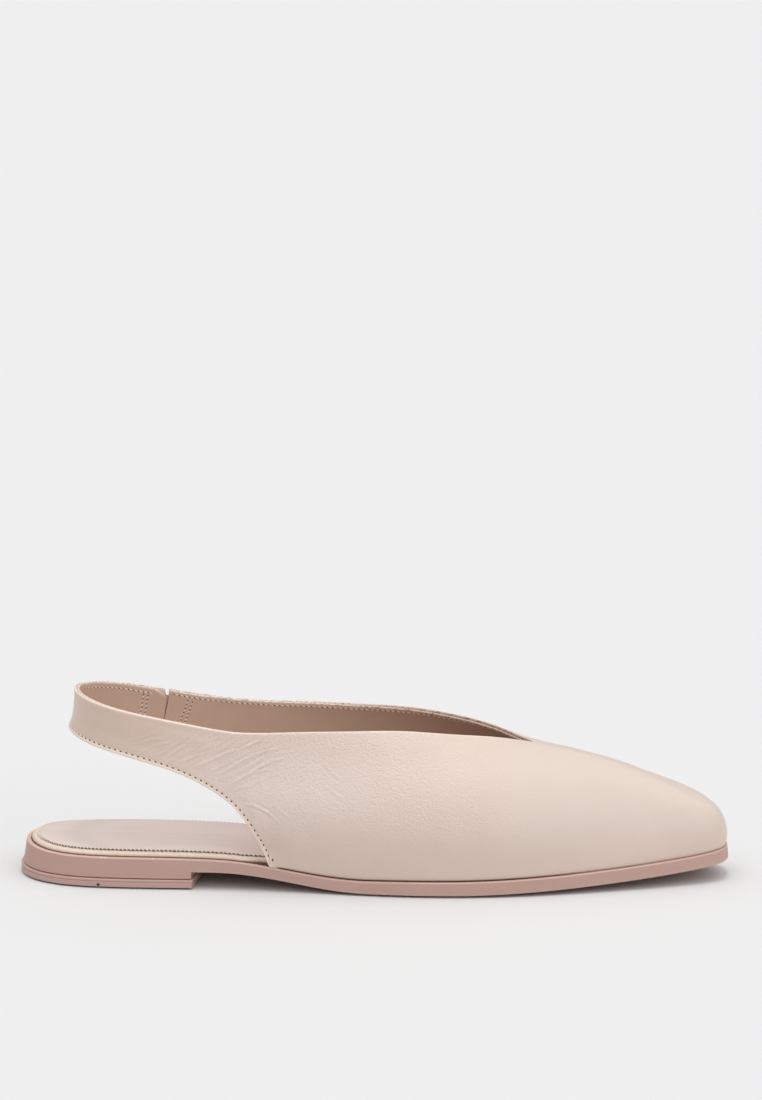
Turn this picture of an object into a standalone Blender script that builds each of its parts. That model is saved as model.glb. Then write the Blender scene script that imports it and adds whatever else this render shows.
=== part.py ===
"""Open-back flat shoe for the right foot, with a V throat and a sling strap.

Units are metres. +X runs from heel to toe, -Y is the outer side of the foot and +Z is up.
The origin lies on the floor under the middle of the shoe.
Tables are in millimetres and degrees: "along" runs from the back of the heel to the toe,
"lateral" and "medial" are distances from the middle line to the outer and inner side,
"up" is the height above the floor.
"""
import math

import bmesh
import bpy
import numpy as np

MM = 0.001

LENGTH = 262.3
HEEL_RISE = 5.6
TOE_SPRING = 6.2
GAP = 0.3

BREAST_LATERAL = 64.4
BREAST_MEDIAL = 72.6
ARCH_START = 73.0
ARCH_END = 130.0
SPRING_START = 160.0
SPRING_POWER = 1.8

LIFT_HEIGHT = 3.6
LIFT_BEVEL = 0.5
LIFT_PROUD = 0.4
HEEL_FLARE = 1.7
FORE_FLARE = 0.4
FLARE_END = 95.0

RIM_WIDTH = 1.7
RIM_ROUND = 0.5
RECESS_DEPTH = 1.6
SOLE_BEVEL = 0.6

FOOTBED_PROUD = 1.6
FOOTBED_ROUND = 1.4
FOOTBED_STEP_START = 82.0
FOOTBED_STEP_END = 91.5
SOCK_INSET = 2.5
SOCK_THICKNESS = 0.9

WALL = 2.0
FOOT_WALL = 1.3
FOOT_WALL_SHARE = 0.12
FEATHER_GAP = 0.4
TAB_WALL = 2.8
SLIT_ROW = 16.5
SLIT_FOOT = 0.5
SLIT_TOP = 2.1
SLIT_POWER = 4
ROW_PITCH = 16.0
POCKET_ROWS = 0.62
POCKET_WALL = 0.8
ELASTIC_THICKNESS = 0.6
ELASTIC_ROWS = 0.56

SIDE_STEPS = 46
HEEL_STEPS = 16
CROWDING = 1.4


def table(header, *rows):
    """Columns of a table by name."""
    return {name: [row[i] for row in rows] for i, name in enumerate(header.split())}


# Plan outline of the sole at its widest level.
OUTLINE = table(
    "along lateral medial",
    (0.0, 0.0, 0.0),
    (2.0, 9.8, 12.0),
    (8.0, 18.2, 20.4),
    (18.5, 24.2, 25.6),
    (33.0, 27.0, 27.4),
    (52.0, 28.0, 26.8),
    (70.0, 28.3, 25.4),
    (90.0, 29.8, 25.0),
    (110.0, 32.8, 27.4),
    (130.0, 35.9, 32.2),
    (150.0, 37.6, 37.0),
    (170.0, 37.1, 40.0),
    (190.0, 34.2, 39.2),
    (210.0, 29.3, 35.0),
    (228.0, 24.0, 29.0),
    (243.0, 18.8, 22.8),
    (254.0, 13.9, 16.9),
    (259.8, 9.4, 11.3),
    (261.9, 4.8, 5.6),
    (262.3, 0.0, 0.0),
)

# Height of the sole's side wall, without the heel.
EDGE = table(
    "along height",
    (0.0, 6.8),
    (7.0, 6.2),
    (18.0, 5.8),
    (60.0, 5.7),
    (95.0, 5.0),
    (115.0, 5.2),
    (140.0, 5.6),
    (165.0, 5.8),
    (262.3, 5.8),
)

# Upper sections that stand on the sole, from the toe to the rear corner of the quarters.
# "foot" is where the section meets the sole and "top" where it ends, on the ridge of the
# vamp down to the V throat and on the topline behind it.
FORE_ROWS = table(
    "foot_along facing lean_lateral lean_medial foot_pull"
    " top_along up_lateral up_medial top_lateral top_medial rise top_pull",
    (262.3, 0.0, 15.0, 15.0, 0.43, 236.0, 36.7, 36.7, 0.0, 0.0, 21.0, 0.61),
    (259.0, 30.0, 15.0, 15.0, 0.43, 235.0, 37.1, 37.1, 0.0, 0.0, 18.0, 0.58),
    (250.5, 54.0, 12.0, 12.0, 0.42, 231.5, 38.5, 38.5, 0.0, 0.0, 12.5, 0.50),
    (238.5, 68.0, 9.0, 9.0, 0.41, 224.5, 41.1, 41.1, 0.0, 0.0, 8.0, 0.42),
    (223.0, 78.0, 7.0, 7.0, 0.41, 214.5, 44.3, 44.3, 0.0, 0.0, 4.0, 0.38),
    (207.0, 85.0, 6.0, 6.0, 0.42, 203.0, 47.1, 47.1, 0.0, 0.0, 1.5, 0.36),
    (191.0, 90.0, 5.0, 5.0, 0.42, 190.0, 49.9, 49.9, 0.0, 0.0, 0.0, 0.36),
    (175.5, 90.0, 4.0, 5.0, 0.41, 175.5, 53.5, 54.0, 7.4, 9.6, 15.0, 0.35),
    (159.0, 90.0, 3.0, 6.0, 0.39, 159.0, 56.3, 56.6, 15.4, 16.4, 33.0, 0.34),
    (142.0, 90.0, 3.0, 8.0, 0.37, 142.0, 58.7, 57.8, 21.4, 21.4, 49.0, 0.34),
    (125.0, 90.0, 3.0, 11.0, 0.36, 125.0, 59.4, 57.9, 25.4, 24.4, 62.0, 0.34),
    (108.0, 90.0, 4.0, 13.0, 0.36, 108.5, 59.5, 58.2, 27.4, 25.6, 72.0, 0.34),
    (93.4, 90.0, 5.0, 12.0, 0.36, 94.5, 59.2, 58.4, 28.3, 26.0, 78.0, 0.34),
)

# Upper sections behind that corner: the rear edge of the quarters and the sling strap.
REAR_ROWS = table(
    "edge_along edge_up edge_lateral edge_medial facing lean_lateral lean_medial foot_pull"
    " top_along up_lateral up_medial top_lateral top_medial rise top_pull",
    (89.1, 19.2, 28.8, 25.2, 90.0, 5.5, 10.0, 0.34, 90.2, 59.1, 58.5, 28.4, 26.1, 80.0, 0.34),
    (82.2, 29.8, 29.4, 26.6, 90.5, 3.5, 7.0, 0.34, 84.2, 59.1, 58.8, 28.4, 26.1, 82.0, 0.34),
    (72.5, 38.3, 29.5, 27.0, 92.0, 0.5, 3.0, 0.34, 76.0, 59.8, 59.4, 28.2, 26.0, 84.0, 0.34),
    (59.0, 45.0, 28.7, 26.4, 95.0, -5.0, -4.0, 0.35, 62.0, 62.2, 61.4, 27.6, 25.4, 86.0, 0.34),
    (42.5, 49.8, 26.6, 24.0, 106.0, -11.0, -11.0, 0.36, 44.5, 65.4, 64.8, 26.2, 22.8, 88.0, 0.34),
    (29.0, 53.0, 21.8, 18.8, 128.0, -16.0, -16.0, 0.36, 31.8, 67.8, 67.4, 22.2, 17.6, 89.0, 0.34),
    (20.7, 54.9, 12.0, 10.4, 155.0, -20.0, -20.0, 0.36, 23.3, 69.1, 69.0, 12.2, 9.6, 90.0, 0.34),
    (18.0, 55.6, 0.0, 0.0, 180.0, -22.0, -22.0, 0.36, 20.2, 69.5, 69.5, 0.0, 0.0, 90.0, 0.34),
)

THROAT_ROW = 6
CORNER_ROW = 12
BACK_ROW = 20
LOOP_ROWS = 2 * BACK_ROW

# Columns between the rows where an edge of the upper turns, and steps up each column.
STRAP_COLUMNS = 26
QUARTER_COLUMNS = 14
VAMP_COLUMNS = 16
TAB_COLUMNS = 10
WALL_STEPS = 10
POCKET_STEPS = 4
POCKET_FOOT_STEP = 2
POCKET_TOP_STEP = 8


def spline(knots, values):
    """Natural cubic curve through the values, as a function of the knots."""
    knots = np.asarray(knots, float)
    values = np.asarray(values, float)
    count = len(knots)
    step = np.diff(knots)
    slope = np.diff(values) / step
    matrix = np.eye(count)
    right = np.zeros(count)
    for i in range(1, count - 1):
        matrix[i, i - 1:i + 2] = step[i - 1], 2 * (step[i - 1] + step[i]), step[i]
        right[i] = 6 * (slope[i] - slope[i - 1])
    bend = np.linalg.solve(matrix, right)

    def value(at):
        at = np.asarray(at, float)
        i = np.clip(np.searchsorted(knots, at) - 1, 0, count - 2)
        a = (knots[i + 1] - at) / step[i]
        b = (at - knots[i]) / step[i]
        curve = (a ** 3 - a) * bend[i] + (b ** 3 - b) * bend[i + 1]
        return a * values[i] + b * values[i + 1] + curve * step[i] ** 2 / 6

    return value


def closed_spline(knots, values, period, turn=0.0, overlap=6):
    """Cubic curve through values that repeat after the period, gaining the turn each time."""
    knots = np.asarray(knots, float)
    values = np.asarray(values, float)
    before = slice(-overlap, None)
    after = slice(None, overlap)
    knots = np.concatenate([knots[before] - period, knots, knots[after] + period])
    values = np.concatenate([values[before] - turn, values, values[after] + turn])
    return spline(knots, values)


def smooth_step(start, end, at):
    share = np.clip((np.asarray(at, float) - start) / (end - start), 0.0, 1.0)
    return share * share * (3 - 2 * share)


def seat(along):
    """Underside of the sole without its heel: waist, ball and toe spring."""
    along = np.asarray(along, float)
    arch = np.clip((along - ARCH_START) / (ARCH_END - ARCH_START), 0.0, 1.0)
    toe = np.clip((along - SPRING_START) / (LENGTH - SPRING_START), 0.0, 1.0)
    return HEEL_RISE * (1 + np.cos(math.pi * arch)) / 2 + TOE_SPRING * toe ** SPRING_POWER


edge_height = spline(EDGE["along"], EDGE["height"])


def rim_up(along):
    return seat(along) + edge_height(along)


def flare(along):
    """How far the rim stands in from the widest outline of the sole."""
    return HEEL_FLARE + (FORE_FLARE - HEEL_FLARE) * smooth_step(0.0, FLARE_END, along)


# The outline as one closed curve: heel back, lateral side, toe, medial side.
side_along = OUTLINE["along"]
loop_along = side_along + side_along[-2:0:-1]
loop_across = [-out for out in OUTLINE["lateral"]] + OUTLINE["medial"][-2:0:-1]
loop_chord = np.hypot(
    np.diff(loop_along, append=loop_along[0]), np.diff(loop_across, append=loop_across[0])
)
loop_knots = np.concatenate([[0.0], np.cumsum(loop_chord)[:-1]])
PERIMETER = float(loop_chord.sum())
TOE_KNOT = float(loop_knots[len(side_along) - 1])
outline_along = closed_spline(loop_knots, loop_along, PERIMETER)
outline_across = closed_spline(loop_knots, loop_across, PERIMETER)


def outline_at(knot, inset=0.0):
    """Points (along, across) of the outline, moved in by the inset."""
    knot = np.asarray(knot, float) % PERIMETER
    step = 0.01
    tangent_along = outline_along(knot + step) - outline_along(knot - step)
    tangent_across = outline_across(knot + step) - outline_across(knot - step)
    length = np.hypot(tangent_along, tangent_across)
    along = outline_along(knot) - inset * tangent_across / length
    across = outline_across(knot) + inset * tangent_along / length
    return along, across


def knot_at(along, medial):
    """Place on the outline that lies at this distance from the heel."""
    side = np.linspace(0.0, TOE_KNOT, 600)
    if medial:
        side = PERIMETER - side * (PERIMETER - TOE_KNOT) / TOE_KNOT
    return float(np.interp(along, outline_along(side), side))


MIDDLE = (LENGTH - LIFT_PROUD) / 2
ACROSS_SHIFT = (max(OUTLINE["lateral"]) - max(OUTLINE["medial"])) / 2


def place(along, across, up):
    """Table millimetres to points in the shoe's frame."""
    along, across, up = np.broadcast_arrays(along, across, up)
    points = np.stack([along - MIDDLE, across + ACROSS_SHIFT, up], axis=-1)
    return points * MM


def solid(name, points, faces, color, roughness):
    mesh = bpy.data.meshes.new(name)
    mesh.from_pydata([tuple(p) for p in points], [], faces)
    shape = bmesh.new()
    shape.from_mesh(mesh)
    bmesh.ops.recalc_face_normals(shape, faces=shape.faces)
    shape.to_mesh(mesh)
    shape.free()
    mesh.shade_smooth()
    mesh.set_sharp_from_angle(angle=math.radians(35))
    material = bpy.data.materials.new(name)
    material.use_nodes = True
    shader = material.node_tree.nodes["Principled BSDF"]
    shader.inputs["Base Color"].default_value = (*color, 1.0)
    shader.inputs["Roughness"].default_value = roughness
    mesh.materials.append(material)
    body = bpy.data.objects.new(name, mesh)
    bpy.context.scene.collection.objects.link(body)
    return body


def ring_faces(levels, count):
    """Quads between closed loops of points that are stacked level by level."""
    faces = []
    for level in range(levels - 1):
        base = level * count
        for j in range(count):
            k = (j + 1) % count
            faces.append((base + j, base + k, base + count + k, base + count + j))
    return faces


def ladder_faces(base, half):
    """Rungs across a loop that runs up one side to the toe and back along the other."""
    count = 2 * half
    faces = []
    for k in range(half):
        left = base + k
        right = base + (count - k) % count
        next_left = base + k + 1
        next_right = base + count - k - 1
        face = [left, next_left, next_right, right]
        if k == 0:
            face = [left, next_left, next_right]
        if next_left == next_right:
            face = [left, next_left, right]
        faces.append(tuple(face))
    return faces


def crowded(start, end, steps):
    """Places from start to end that lie closer together towards the end."""
    share = 1 - (1 - np.linspace(0.0, 1.0, steps + 1)) ** CROWDING
    return start + (end - start) * share


def side_knots():
    """Places round the outline, with the heel breast between two close neighbours."""
    knots = []
    for medial, breast in ((False, BREAST_LATERAL), (True, BREAST_MEDIAL)):
        heel_end = knot_at(breast, medial)
        waist_start = knot_at(breast + 0.05, medial)
        back = PERIMETER if medial else 0.0
        heel = np.linspace(back, heel_end, HEEL_STEPS)
        fore = crowded(waist_start, TOE_KNOT, SIDE_STEPS - HEEL_STEPS)
        knots.append(np.concatenate([heel, fore]))
    lateral, medial = knots
    return np.concatenate([lateral, medial[-2:0:-1]]), len(lateral) - 1


for existing in list(bpy.data.objects):
    bpy.data.objects.remove(existing, do_unlink=True)

# Unit sole: outer wall from the tread up to the rim, then down into the recess.
knots, half = side_knots()
along = outline_at(knots)[0]
station = np.arange(len(knots))
in_heel = np.minimum(station, len(knots) - station) < HEEL_STEPS
tread_up = np.where(in_heel, LIFT_HEIGHT + GAP, seat(along))
top_up = rim_up(along)
tread_bevel = np.where(in_heel, 0.25, SOLE_BEVEL)
wall_up = tread_up + tread_bevel
foot_inset = np.where(in_heel, flare(along) * tread_up / top_up, 0.0)
rim_in = flare(along)
sole_levels = (
    (foot_inset + tread_bevel, tread_up),
    (foot_inset, wall_up),
    ((foot_inset + rim_in) / 2, (wall_up + top_up - RIM_ROUND) / 2),
    (rim_in, top_up - RIM_ROUND),
    (rim_in + 0.3 * RIM_ROUND, top_up - 0.3 * RIM_ROUND),
    (rim_in + RIM_ROUND, top_up),
    (rim_in + RIM_WIDTH, top_up),
    (rim_in + RIM_WIDTH, top_up - RECESS_DEPTH),
)
sole_points = []
for inset, up in sole_levels:
    level_along, level_across = outline_at(knots, inset)
    sole_points.extend(place(level_along, level_across, up))
count = len(knots)
sole_faces = ring_faces(len(sole_levels), count)
sole_faces += ladder_faces(0, half)
sole_faces += ladder_faces((len(sole_levels) - 1) * count, half)
solid("outsole", sole_points, sole_faces, (0.43, 0.28, 0.23), 0.55)

# Top lift: the heel outline closed by the straight breast.
lift_knots = np.concatenate([
    np.linspace(knot_at(BREAST_MEDIAL, True), PERIMETER, HEEL_STEPS),
    np.linspace(0.0, knot_at(BREAST_LATERAL, False), HEEL_STEPS)[1:],
])
lift_levels = (
    (LIFT_BEVEL - LIFT_PROUD, 0.0),
    (-LIFT_PROUD, LIFT_BEVEL),
    (-LIFT_PROUD, LIFT_HEIGHT - 0.3),
    (0.3 - LIFT_PROUD, LIFT_HEIGHT),
)
lift_points = []
for inset, up in lift_levels:
    level_along, level_across = outline_at(lift_knots, inset)
    level_along[0] -= inset
    level_along[-1] -= inset
    lift_points.extend(place(level_along, level_across, up))
count = len(lift_knots)
lift_faces = ring_faces(len(lift_levels), count)
lift_faces.append(tuple(range(count)))
lift_faces.append(tuple(range((len(lift_levels) - 1) * count, len(lift_levels) * count)))
solid("heel_lift", lift_points, lift_faces, (0.42, 0.27, 0.23), 0.6)


def footbed_inset(along):
    """Edge of the footbed: close to the rim at the heel, inside the upper further on."""
    step = smooth_step(FOOTBED_STEP_START, FOOTBED_STEP_END, along)
    return flare(along) + RIM_WIDTH + GAP + (FEATHER_GAP + FOOT_WALL) * step


def plate_knots():
    sides = []
    for back in (0.0, PERIMETER):
        middle = (back + TOE_KNOT) / 2
        heel = crowded(middle, back, SIDE_STEPS // 2)[::-1]
        sides.append(np.concatenate([heel, crowded(middle, TOE_KNOT, SIDE_STEPS // 2)[1:]]))
    lateral, medial = sides
    return np.concatenate([lateral, medial[-2:0:-1]])


# Footbed: board with a rounded, leather-wrapped edge, lying in the recess.
knots = plate_knots()
along = outline_at(knots)[0]
edge = footbed_inset(along)
board_top = rim_up(along) + FOOTBED_PROUD
board_foot = rim_up(along) - RECESS_DEPTH + GAP
footbed_levels = [(edge + 0.2, board_foot), (edge, board_foot + 0.2)]
for degrees in (0, 30, 60, 90):
    angle = math.radians(degrees)
    footbed_levels.append((
        edge + FOOTBED_ROUND * (1 - math.cos(angle)),
        board_top - FOOTBED_ROUND * (1 - math.sin(angle)),
    ))
footbed_points = []
for inset, up in footbed_levels:
    level_along, level_across = outline_at(knots, inset)
    footbed_points.extend(place(level_along, level_across, up))
count = len(knots)
footbed_faces = ring_faces(len(footbed_levels), count)
footbed_faces += ladder_faces(0, SIDE_STEPS)
footbed_faces += ladder_faces((len(footbed_levels) - 1) * count, SIDE_STEPS)
solid("footbed", footbed_points, footbed_faces, (0.72, 0.58, 0.47), 0.6)

# Sock lining: thin sheet on the footbed.
sock_foot = board_top + GAP
sock_levels = (
    (edge + SOCK_INSET, sock_foot),
    (edge + SOCK_INSET, sock_foot + SOCK_THICKNESS / 2),
    (edge + SOCK_INSET + SOCK_THICKNESS / 2, sock_foot + SOCK_THICKNESS),
)
sock_points = []
for inset, up in sock_levels:
    level_along, level_across = outline_at(knots, inset)
    sock_points.extend(place(level_along, level_across, up))
sock_faces = ring_faces(len(sock_levels), count)
sock_faces += ladder_faces(0, SIDE_STEPS)
sock_faces += ladder_faces((len(sock_levels) - 1) * count, SIDE_STEPS)
solid("insole_sock", sock_points, sock_faces, (0.62, 0.50, 0.45), 0.5)


def loop_column(name):
    """A column round the whole loop: back, lateral side, toe, medial side, back."""
    rows = FORE_ROWS[name] + REAR_ROWS[name]
    return rows[::-1] + rows[1:]


def loop_pair(lateral, medial, sign=-1.0):
    """Lateral and medial columns joined in the same order."""
    outer = FORE_ROWS[lateral] + REAR_ROWS[lateral]
    inner = FORE_ROWS[medial] + REAR_ROWS[medial]
    return [sign * out for out in outer[::-1]] + inner[1:]


ROWS = np.arange(LOOP_ROWS + 1)
TOE_ROW = BACK_ROW
facing_rows = [-angle for angle in (FORE_ROWS["facing"] + REAR_ROWS["facing"])[::-1]]
facing_rows += (FORE_ROWS["facing"] + REAR_ROWS["facing"])[1:]
facing = closed_spline(ROWS[:-1], facing_rows[:-1], LOOP_ROWS, 360.0)
lean = closed_spline(ROWS[:-1], loop_pair("lean_lateral", "lean_medial", 1.0)[:-1], LOOP_ROWS)
foot_pull = closed_spline(ROWS[:-1], loop_column("foot_pull")[:-1], LOOP_ROWS)
top_pull = closed_spline(ROWS[:-1], loop_column("top_pull")[:-1], LOOP_ROWS)
rise = closed_spline(ROWS[:-1], loop_column("rise")[:-1], LOOP_ROWS)

# Foot of the upper: along the sole between the rear corners, then round the strap's lower edge.
feather_rows = np.arange(TOE_ROW - CORNER_ROW, TOE_ROW + CORNER_ROW + 1)
feather_knots = [knot_at(a, False) for a in FORE_ROWS["foot_along"][:0:-1]]
feather_knots += [TOE_KNOT]
feather_knots += [knot_at(a, True) for a in FORE_ROWS["foot_along"][1:]]
feather_knot = spline(feather_rows, feather_knots)


def feather_point(row):
    knot = feather_knot(row)
    inset = flare(outline_at(knot)[0]) + RIM_WIDTH + FEATHER_GAP
    along, across = outline_at(knot, inset)
    return np.stack([along, across, rim_up(along) - RECESS_DEPTH + GAP], axis=-1)


edge_rows = np.arange(TOE_ROW + CORNER_ROW, TOE_ROW + LOOP_ROWS - CORNER_ROW + 1)
edge_points = np.array(
    [feather_point(TOE_ROW + CORNER_ROW)]
    + list(zip(REAR_ROWS["edge_along"], REAR_ROWS["edge_medial"], REAR_ROWS["edge_up"]))
    + list(zip(
        REAR_ROWS["edge_along"][-2::-1],
        [-out for out in REAR_ROWS["edge_lateral"][-2::-1]],
        REAR_ROWS["edge_up"][-2::-1],
    ))
    + [feather_point(TOE_ROW - CORNER_ROW)]
)
edge_curves = [spline(edge_rows, edge_points[:, axis]) for axis in range(3)]

top_columns = [
    loop_column("top_along"),
    loop_pair("top_lateral", "top_medial"),
    loop_pair("up_lateral", "up_medial", 1.0),
]
ridge_rows = np.arange(TOE_ROW - THROAT_ROW, TOE_ROW + THROAT_ROW + 1)
ridge_curves = [spline(ridge_rows, [column[r] for r in ridge_rows]) for column in top_columns]
line_rows = np.arange(TOE_ROW + THROAT_ROW, TOE_ROW + LOOP_ROWS - THROAT_ROW + 1)
line_curves = [
    spline(line_rows, [column[r % LOOP_ROWS] for r in line_rows]) for column in top_columns
]


def foot_point(row):
    """Lower edge of the upper at a row of the loop."""
    turned = np.mod(row - (TOE_ROW - CORNER_ROW), LOOP_ROWS) + TOE_ROW - CORNER_ROW
    on_sole = turned <= TOE_ROW + CORNER_ROW
    edge = np.stack([curve(turned) for curve in edge_curves], axis=-1)
    return np.where(on_sole[..., None], feather_point(turned), edge)


def top_point(row):
    """Upper edge of the upper at a row of the loop."""
    turned = np.mod(row - (TOE_ROW - THROAT_ROW), LOOP_ROWS) + TOE_ROW - THROAT_ROW
    on_ridge = turned <= TOE_ROW + THROAT_ROW
    ridge = np.stack([curve(turned) for curve in ridge_curves], axis=-1)
    line = np.stack([curve(turned) for curve in line_curves], axis=-1)
    return np.where(on_ridge[..., None], ridge, line)


def skin(row, share):
    """Outer face of the upper: row of the loop, share of the way from foot to top."""
    row, share = np.broadcast_arrays(np.asarray(row, float), np.asarray(share, float))
    foot = foot_point(row)
    top = top_point(row)
    chord = np.linalg.norm(top - foot, axis=-1)
    around = np.radians(facing(row))
    outward = np.stack([np.cos(around), np.sin(around), np.zeros_like(around)], axis=-1)
    upward = np.array([0.0, 0.0, 1.0])
    tilt = np.radians(lean(row))[..., None]
    climb = np.radians(rise(row))[..., None]
    foot_reach = (foot_pull(row) * chord)[..., None]
    top_reach = (top_pull(row) * chord)[..., None]
    low = foot + foot_reach * (outward * np.sin(tilt) + upward * np.cos(tilt))
    high = top + top_reach * (outward * np.cos(climb) - upward * np.sin(climb))
    t = share[..., None]
    s = 1 - t
    return s ** 3 * foot + 3 * s * s * t * low + 3 * s * t * t * high + t ** 3 * top


def skin_normal(row, share):
    """Outward direction of that face."""
    step = 0.004
    share = np.clip(share, step, 1 - 3 * step)
    along_row = skin(row + step, share) - skin(row - step, share)
    along_share = skin(row, share + step) - skin(row, share - step)
    normal = np.cross(along_row, along_share)
    return normal / np.linalg.norm(normal, axis=-1, keepdims=True)


def wall_at(row, share):
    """Leather and lining together: skived at the sole, thicker where they hold the elastic."""
    half = LOOP_ROWS / 2
    from_slit = np.abs(np.mod(row - TOE_ROW - SLIT_ROW + half, LOOP_ROWS) - half)
    tab = TAB_WALL + (WALL - TAB_WALL) * smooth_step(POCKET_ROWS, POCKET_ROWS + 0.6, from_slit)
    from_toe = np.abs(np.mod(row - TOE_ROW + half, LOOP_ROWS) - half)
    skived = (1 - smooth_step(0.0, FOOT_WALL_SHARE, share)) * (from_toe <= CORNER_ROW)
    return tab + (FOOT_WALL - WALL) * skived


# Upper: a strip that starts at the slit, passes the back, the lateral side, the toe and the
# medial side, and ends at the slit again.
shares = np.linspace(0.0, 1.0, WALL_STEPS + 1)
slit_half = (SLIT_FOOT + (SLIT_TOP - SLIT_FOOT) * shares ** SLIT_POWER) / 2 / ROW_PITCH
slit_start = TOE_ROW + SLIT_ROW - LOOP_ROWS + slit_half
slit_end = TOE_ROW + SLIT_ROW - slit_half


def span(start, end, steps):
    return np.stack(np.linspace(start, end, steps + 1))[:-1]


pocket_start = slit_start + POCKET_ROWS
pocket_end = slit_end - POCKET_ROWS
full = np.ones(WALL_STEPS + 1)
vamp_span = crowded(TOE_ROW - THROAT_ROW, TOE_ROW, VAMP_COLUMNS)[:-1, None] * full
row_grid = np.concatenate([
    span(slit_start, pocket_start, POCKET_STEPS),
    span(pocket_start, full * (TOE_ROW - CORNER_ROW), STRAP_COLUMNS),
    span(full * (TOE_ROW - CORNER_ROW), full * (TOE_ROW - THROAT_ROW), QUARTER_COLUMNS),
    vamp_span,
    2 * TOE_ROW - np.concatenate([[full * TOE_ROW], vamp_span[:0:-1]]),
    span(full * (TOE_ROW + THROAT_ROW), full * (TOE_ROW + CORNER_ROW), QUARTER_COLUMNS),
    span(full * (TOE_ROW + CORNER_ROW), pocket_end, TAB_COLUMNS),
    span(pocket_end, slit_end, POCKET_STEPS),
    slit_end[None, :],
])
share_grid = np.broadcast_to(shares, row_grid.shape)
outer = skin(row_grid, share_grid)
normal = skin_normal(row_grid, share_grid)
wall = wall_at(row_grid, share_grid)[..., None]
inner = outer - normal * wall
columns = len(row_grid)


class Skin:
    """Points of the upper by key, so that faces can share them."""

    def __init__(self):
        self.points = []
        self.index = {}
        self.faces = []

    def point(self, key, position):
        if key not in self.index:
            self.index[key] = len(self.points)
            self.points.append(place(*position))
        return self.index[key]

    def face(self, *corners):
        self.faces.append(corners)


leather = Skin()


def outer_at(i, j):
    return leather.point(("outer", i, j), outer[i, j])


def inner_at(i, j):
    return leather.point(("inner", i, j), inner[i, j])


def pocket_at(i, j, near_outside):
    depth = POCKET_WALL if near_outside else TAB_WALL - POCKET_WALL
    return leather.point(("pocket", near_outside, i, j), outer[i, j] - normal[i, j] * depth)


# The vamp is one skin: both halves share the points of the ridge.
ridge_first = POCKET_STEPS + STRAP_COLUMNS + QUARTER_COLUMNS
ridge_last = ridge_first + 2 * VAMP_COLUMNS


def merged(i, j):
    if j == WALL_STEPS and ridge_first + VAMP_COLUMNS < i <= ridge_last:
        return 2 * (ridge_first + VAMP_COLUMNS) - i
    return i


for i in range(columns - 1):
    for j in range(WALL_STEPS):
        corners = ((i, j), (i + 1, j), (i + 1, j + 1), (i, j + 1))
        outside = [outer_at(merged(a, b), b) for a, b in corners]
        inside = [inner_at(merged(a, b), b) for a, b in corners]
        leather.face(*outside)
        leather.face(*inside)
    leather.face(outer_at(i, 0), outer_at(i + 1, 0), inner_at(i + 1, 0), inner_at(i, 0))
    if not ridge_first <= i < ridge_last:
        a = merged(i, WALL_STEPS)
        b = merged(i + 1, WALL_STEPS)
        leather.face(
            outer_at(a, WALL_STEPS), outer_at(b, WALL_STEPS),
            inner_at(b, WALL_STEPS), inner_at(a, WALL_STEPS),
        )

# Both strap ends: cut faces with the pocket that takes the elastic.
for first, step in ((0, 1), (columns - 1, -1)):
    deep = first + step * POCKET_STEPS
    for j in range(WALL_STEPS):
        start, end = j, j + 1
        if end < POCKET_FOOT_STEP or start > POCKET_TOP_STEP:
            leather.face(
                outer_at(first, start), outer_at(first, end),
                inner_at(first, end), inner_at(first, start),
            )
        elif end == POCKET_FOOT_STEP:
            leather.face(
                outer_at(first, start), outer_at(first, end),
                pocket_at(first, end, True), pocket_at(first, end, False),
                inner_at(first, end), inner_at(first, start),
            )
        elif start == POCKET_TOP_STEP:
            leather.face(
                outer_at(first, end), outer_at(first, start),
                pocket_at(first, start, True), pocket_at(first, start, False),
                inner_at(first, start), inner_at(first, end),
            )
        else:
            leather.face(
                outer_at(first, start), outer_at(first, end),
                pocket_at(first, end, True), pocket_at(first, start, True),
            )
            leather.face(
                inner_at(first, start), inner_at(first, end),
                pocket_at(first, end, False), pocket_at(first, start, False),
            )
            leather.face(
                pocket_at(deep, start, True), pocket_at(deep, end, True),
                pocket_at(deep, end, False), pocket_at(deep, start, False),
            )
    for i in range(first, deep, step):
        for j in range(POCKET_FOOT_STEP, POCKET_TOP_STEP):
            for near in (True, False):
                leather.face(
                    pocket_at(i, j, near), pocket_at(i + step, j, near),
                    pocket_at(i + step, j + 1, near), pocket_at(i, j + 1, near),
                )
        for j in (POCKET_FOOT_STEP, POCKET_TOP_STEP):
            leather.face(
                pocket_at(i, j, True), pocket_at(i + step, j, True),
                pocket_at(i + step, j, False), pocket_at(i, j, False),
            )

solid("upper", leather.points, leather.faces, (0.74, 0.60, 0.50), 0.5)

# Elastic: a band across the slit, inside both pockets.
band_rows = np.linspace(-ELASTIC_ROWS, ELASTIC_ROWS, 9) + TOE_ROW + SLIT_ROW
margin = 0.03
band_shares = np.linspace(
    shares[POCKET_FOOT_STEP] + margin, shares[POCKET_TOP_STEP] - margin, 6
)
band_row_grid, band_share_grid = np.meshgrid(band_rows, band_shares, indexing="ij")
band_skin = skin(band_row_grid, band_share_grid)
band_normal = skin_normal(band_row_grid, band_share_grid)
band_points = []
for depth in (TAB_WALL - ELASTIC_THICKNESS, TAB_WALL + ELASTIC_THICKNESS):
    face = band_skin - band_normal * depth / 2
    band_points.extend(place(face[..., 0], face[..., 1], face[..., 2]).reshape(-1, 3))
wide = len(band_shares)
size = len(band_rows) * wide
rim_loop = [i * wide for i in range(len(band_rows))]
rim_loop += [(len(band_rows) - 1) * wide + j for j in range(1, wide)]
rim_loop += [i * wide + wide - 1 for i in range(len(band_rows) - 2, -1, -1)]
rim_loop += [j for j in range(wide - 2, 0, -1)]
band_faces = []
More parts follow.
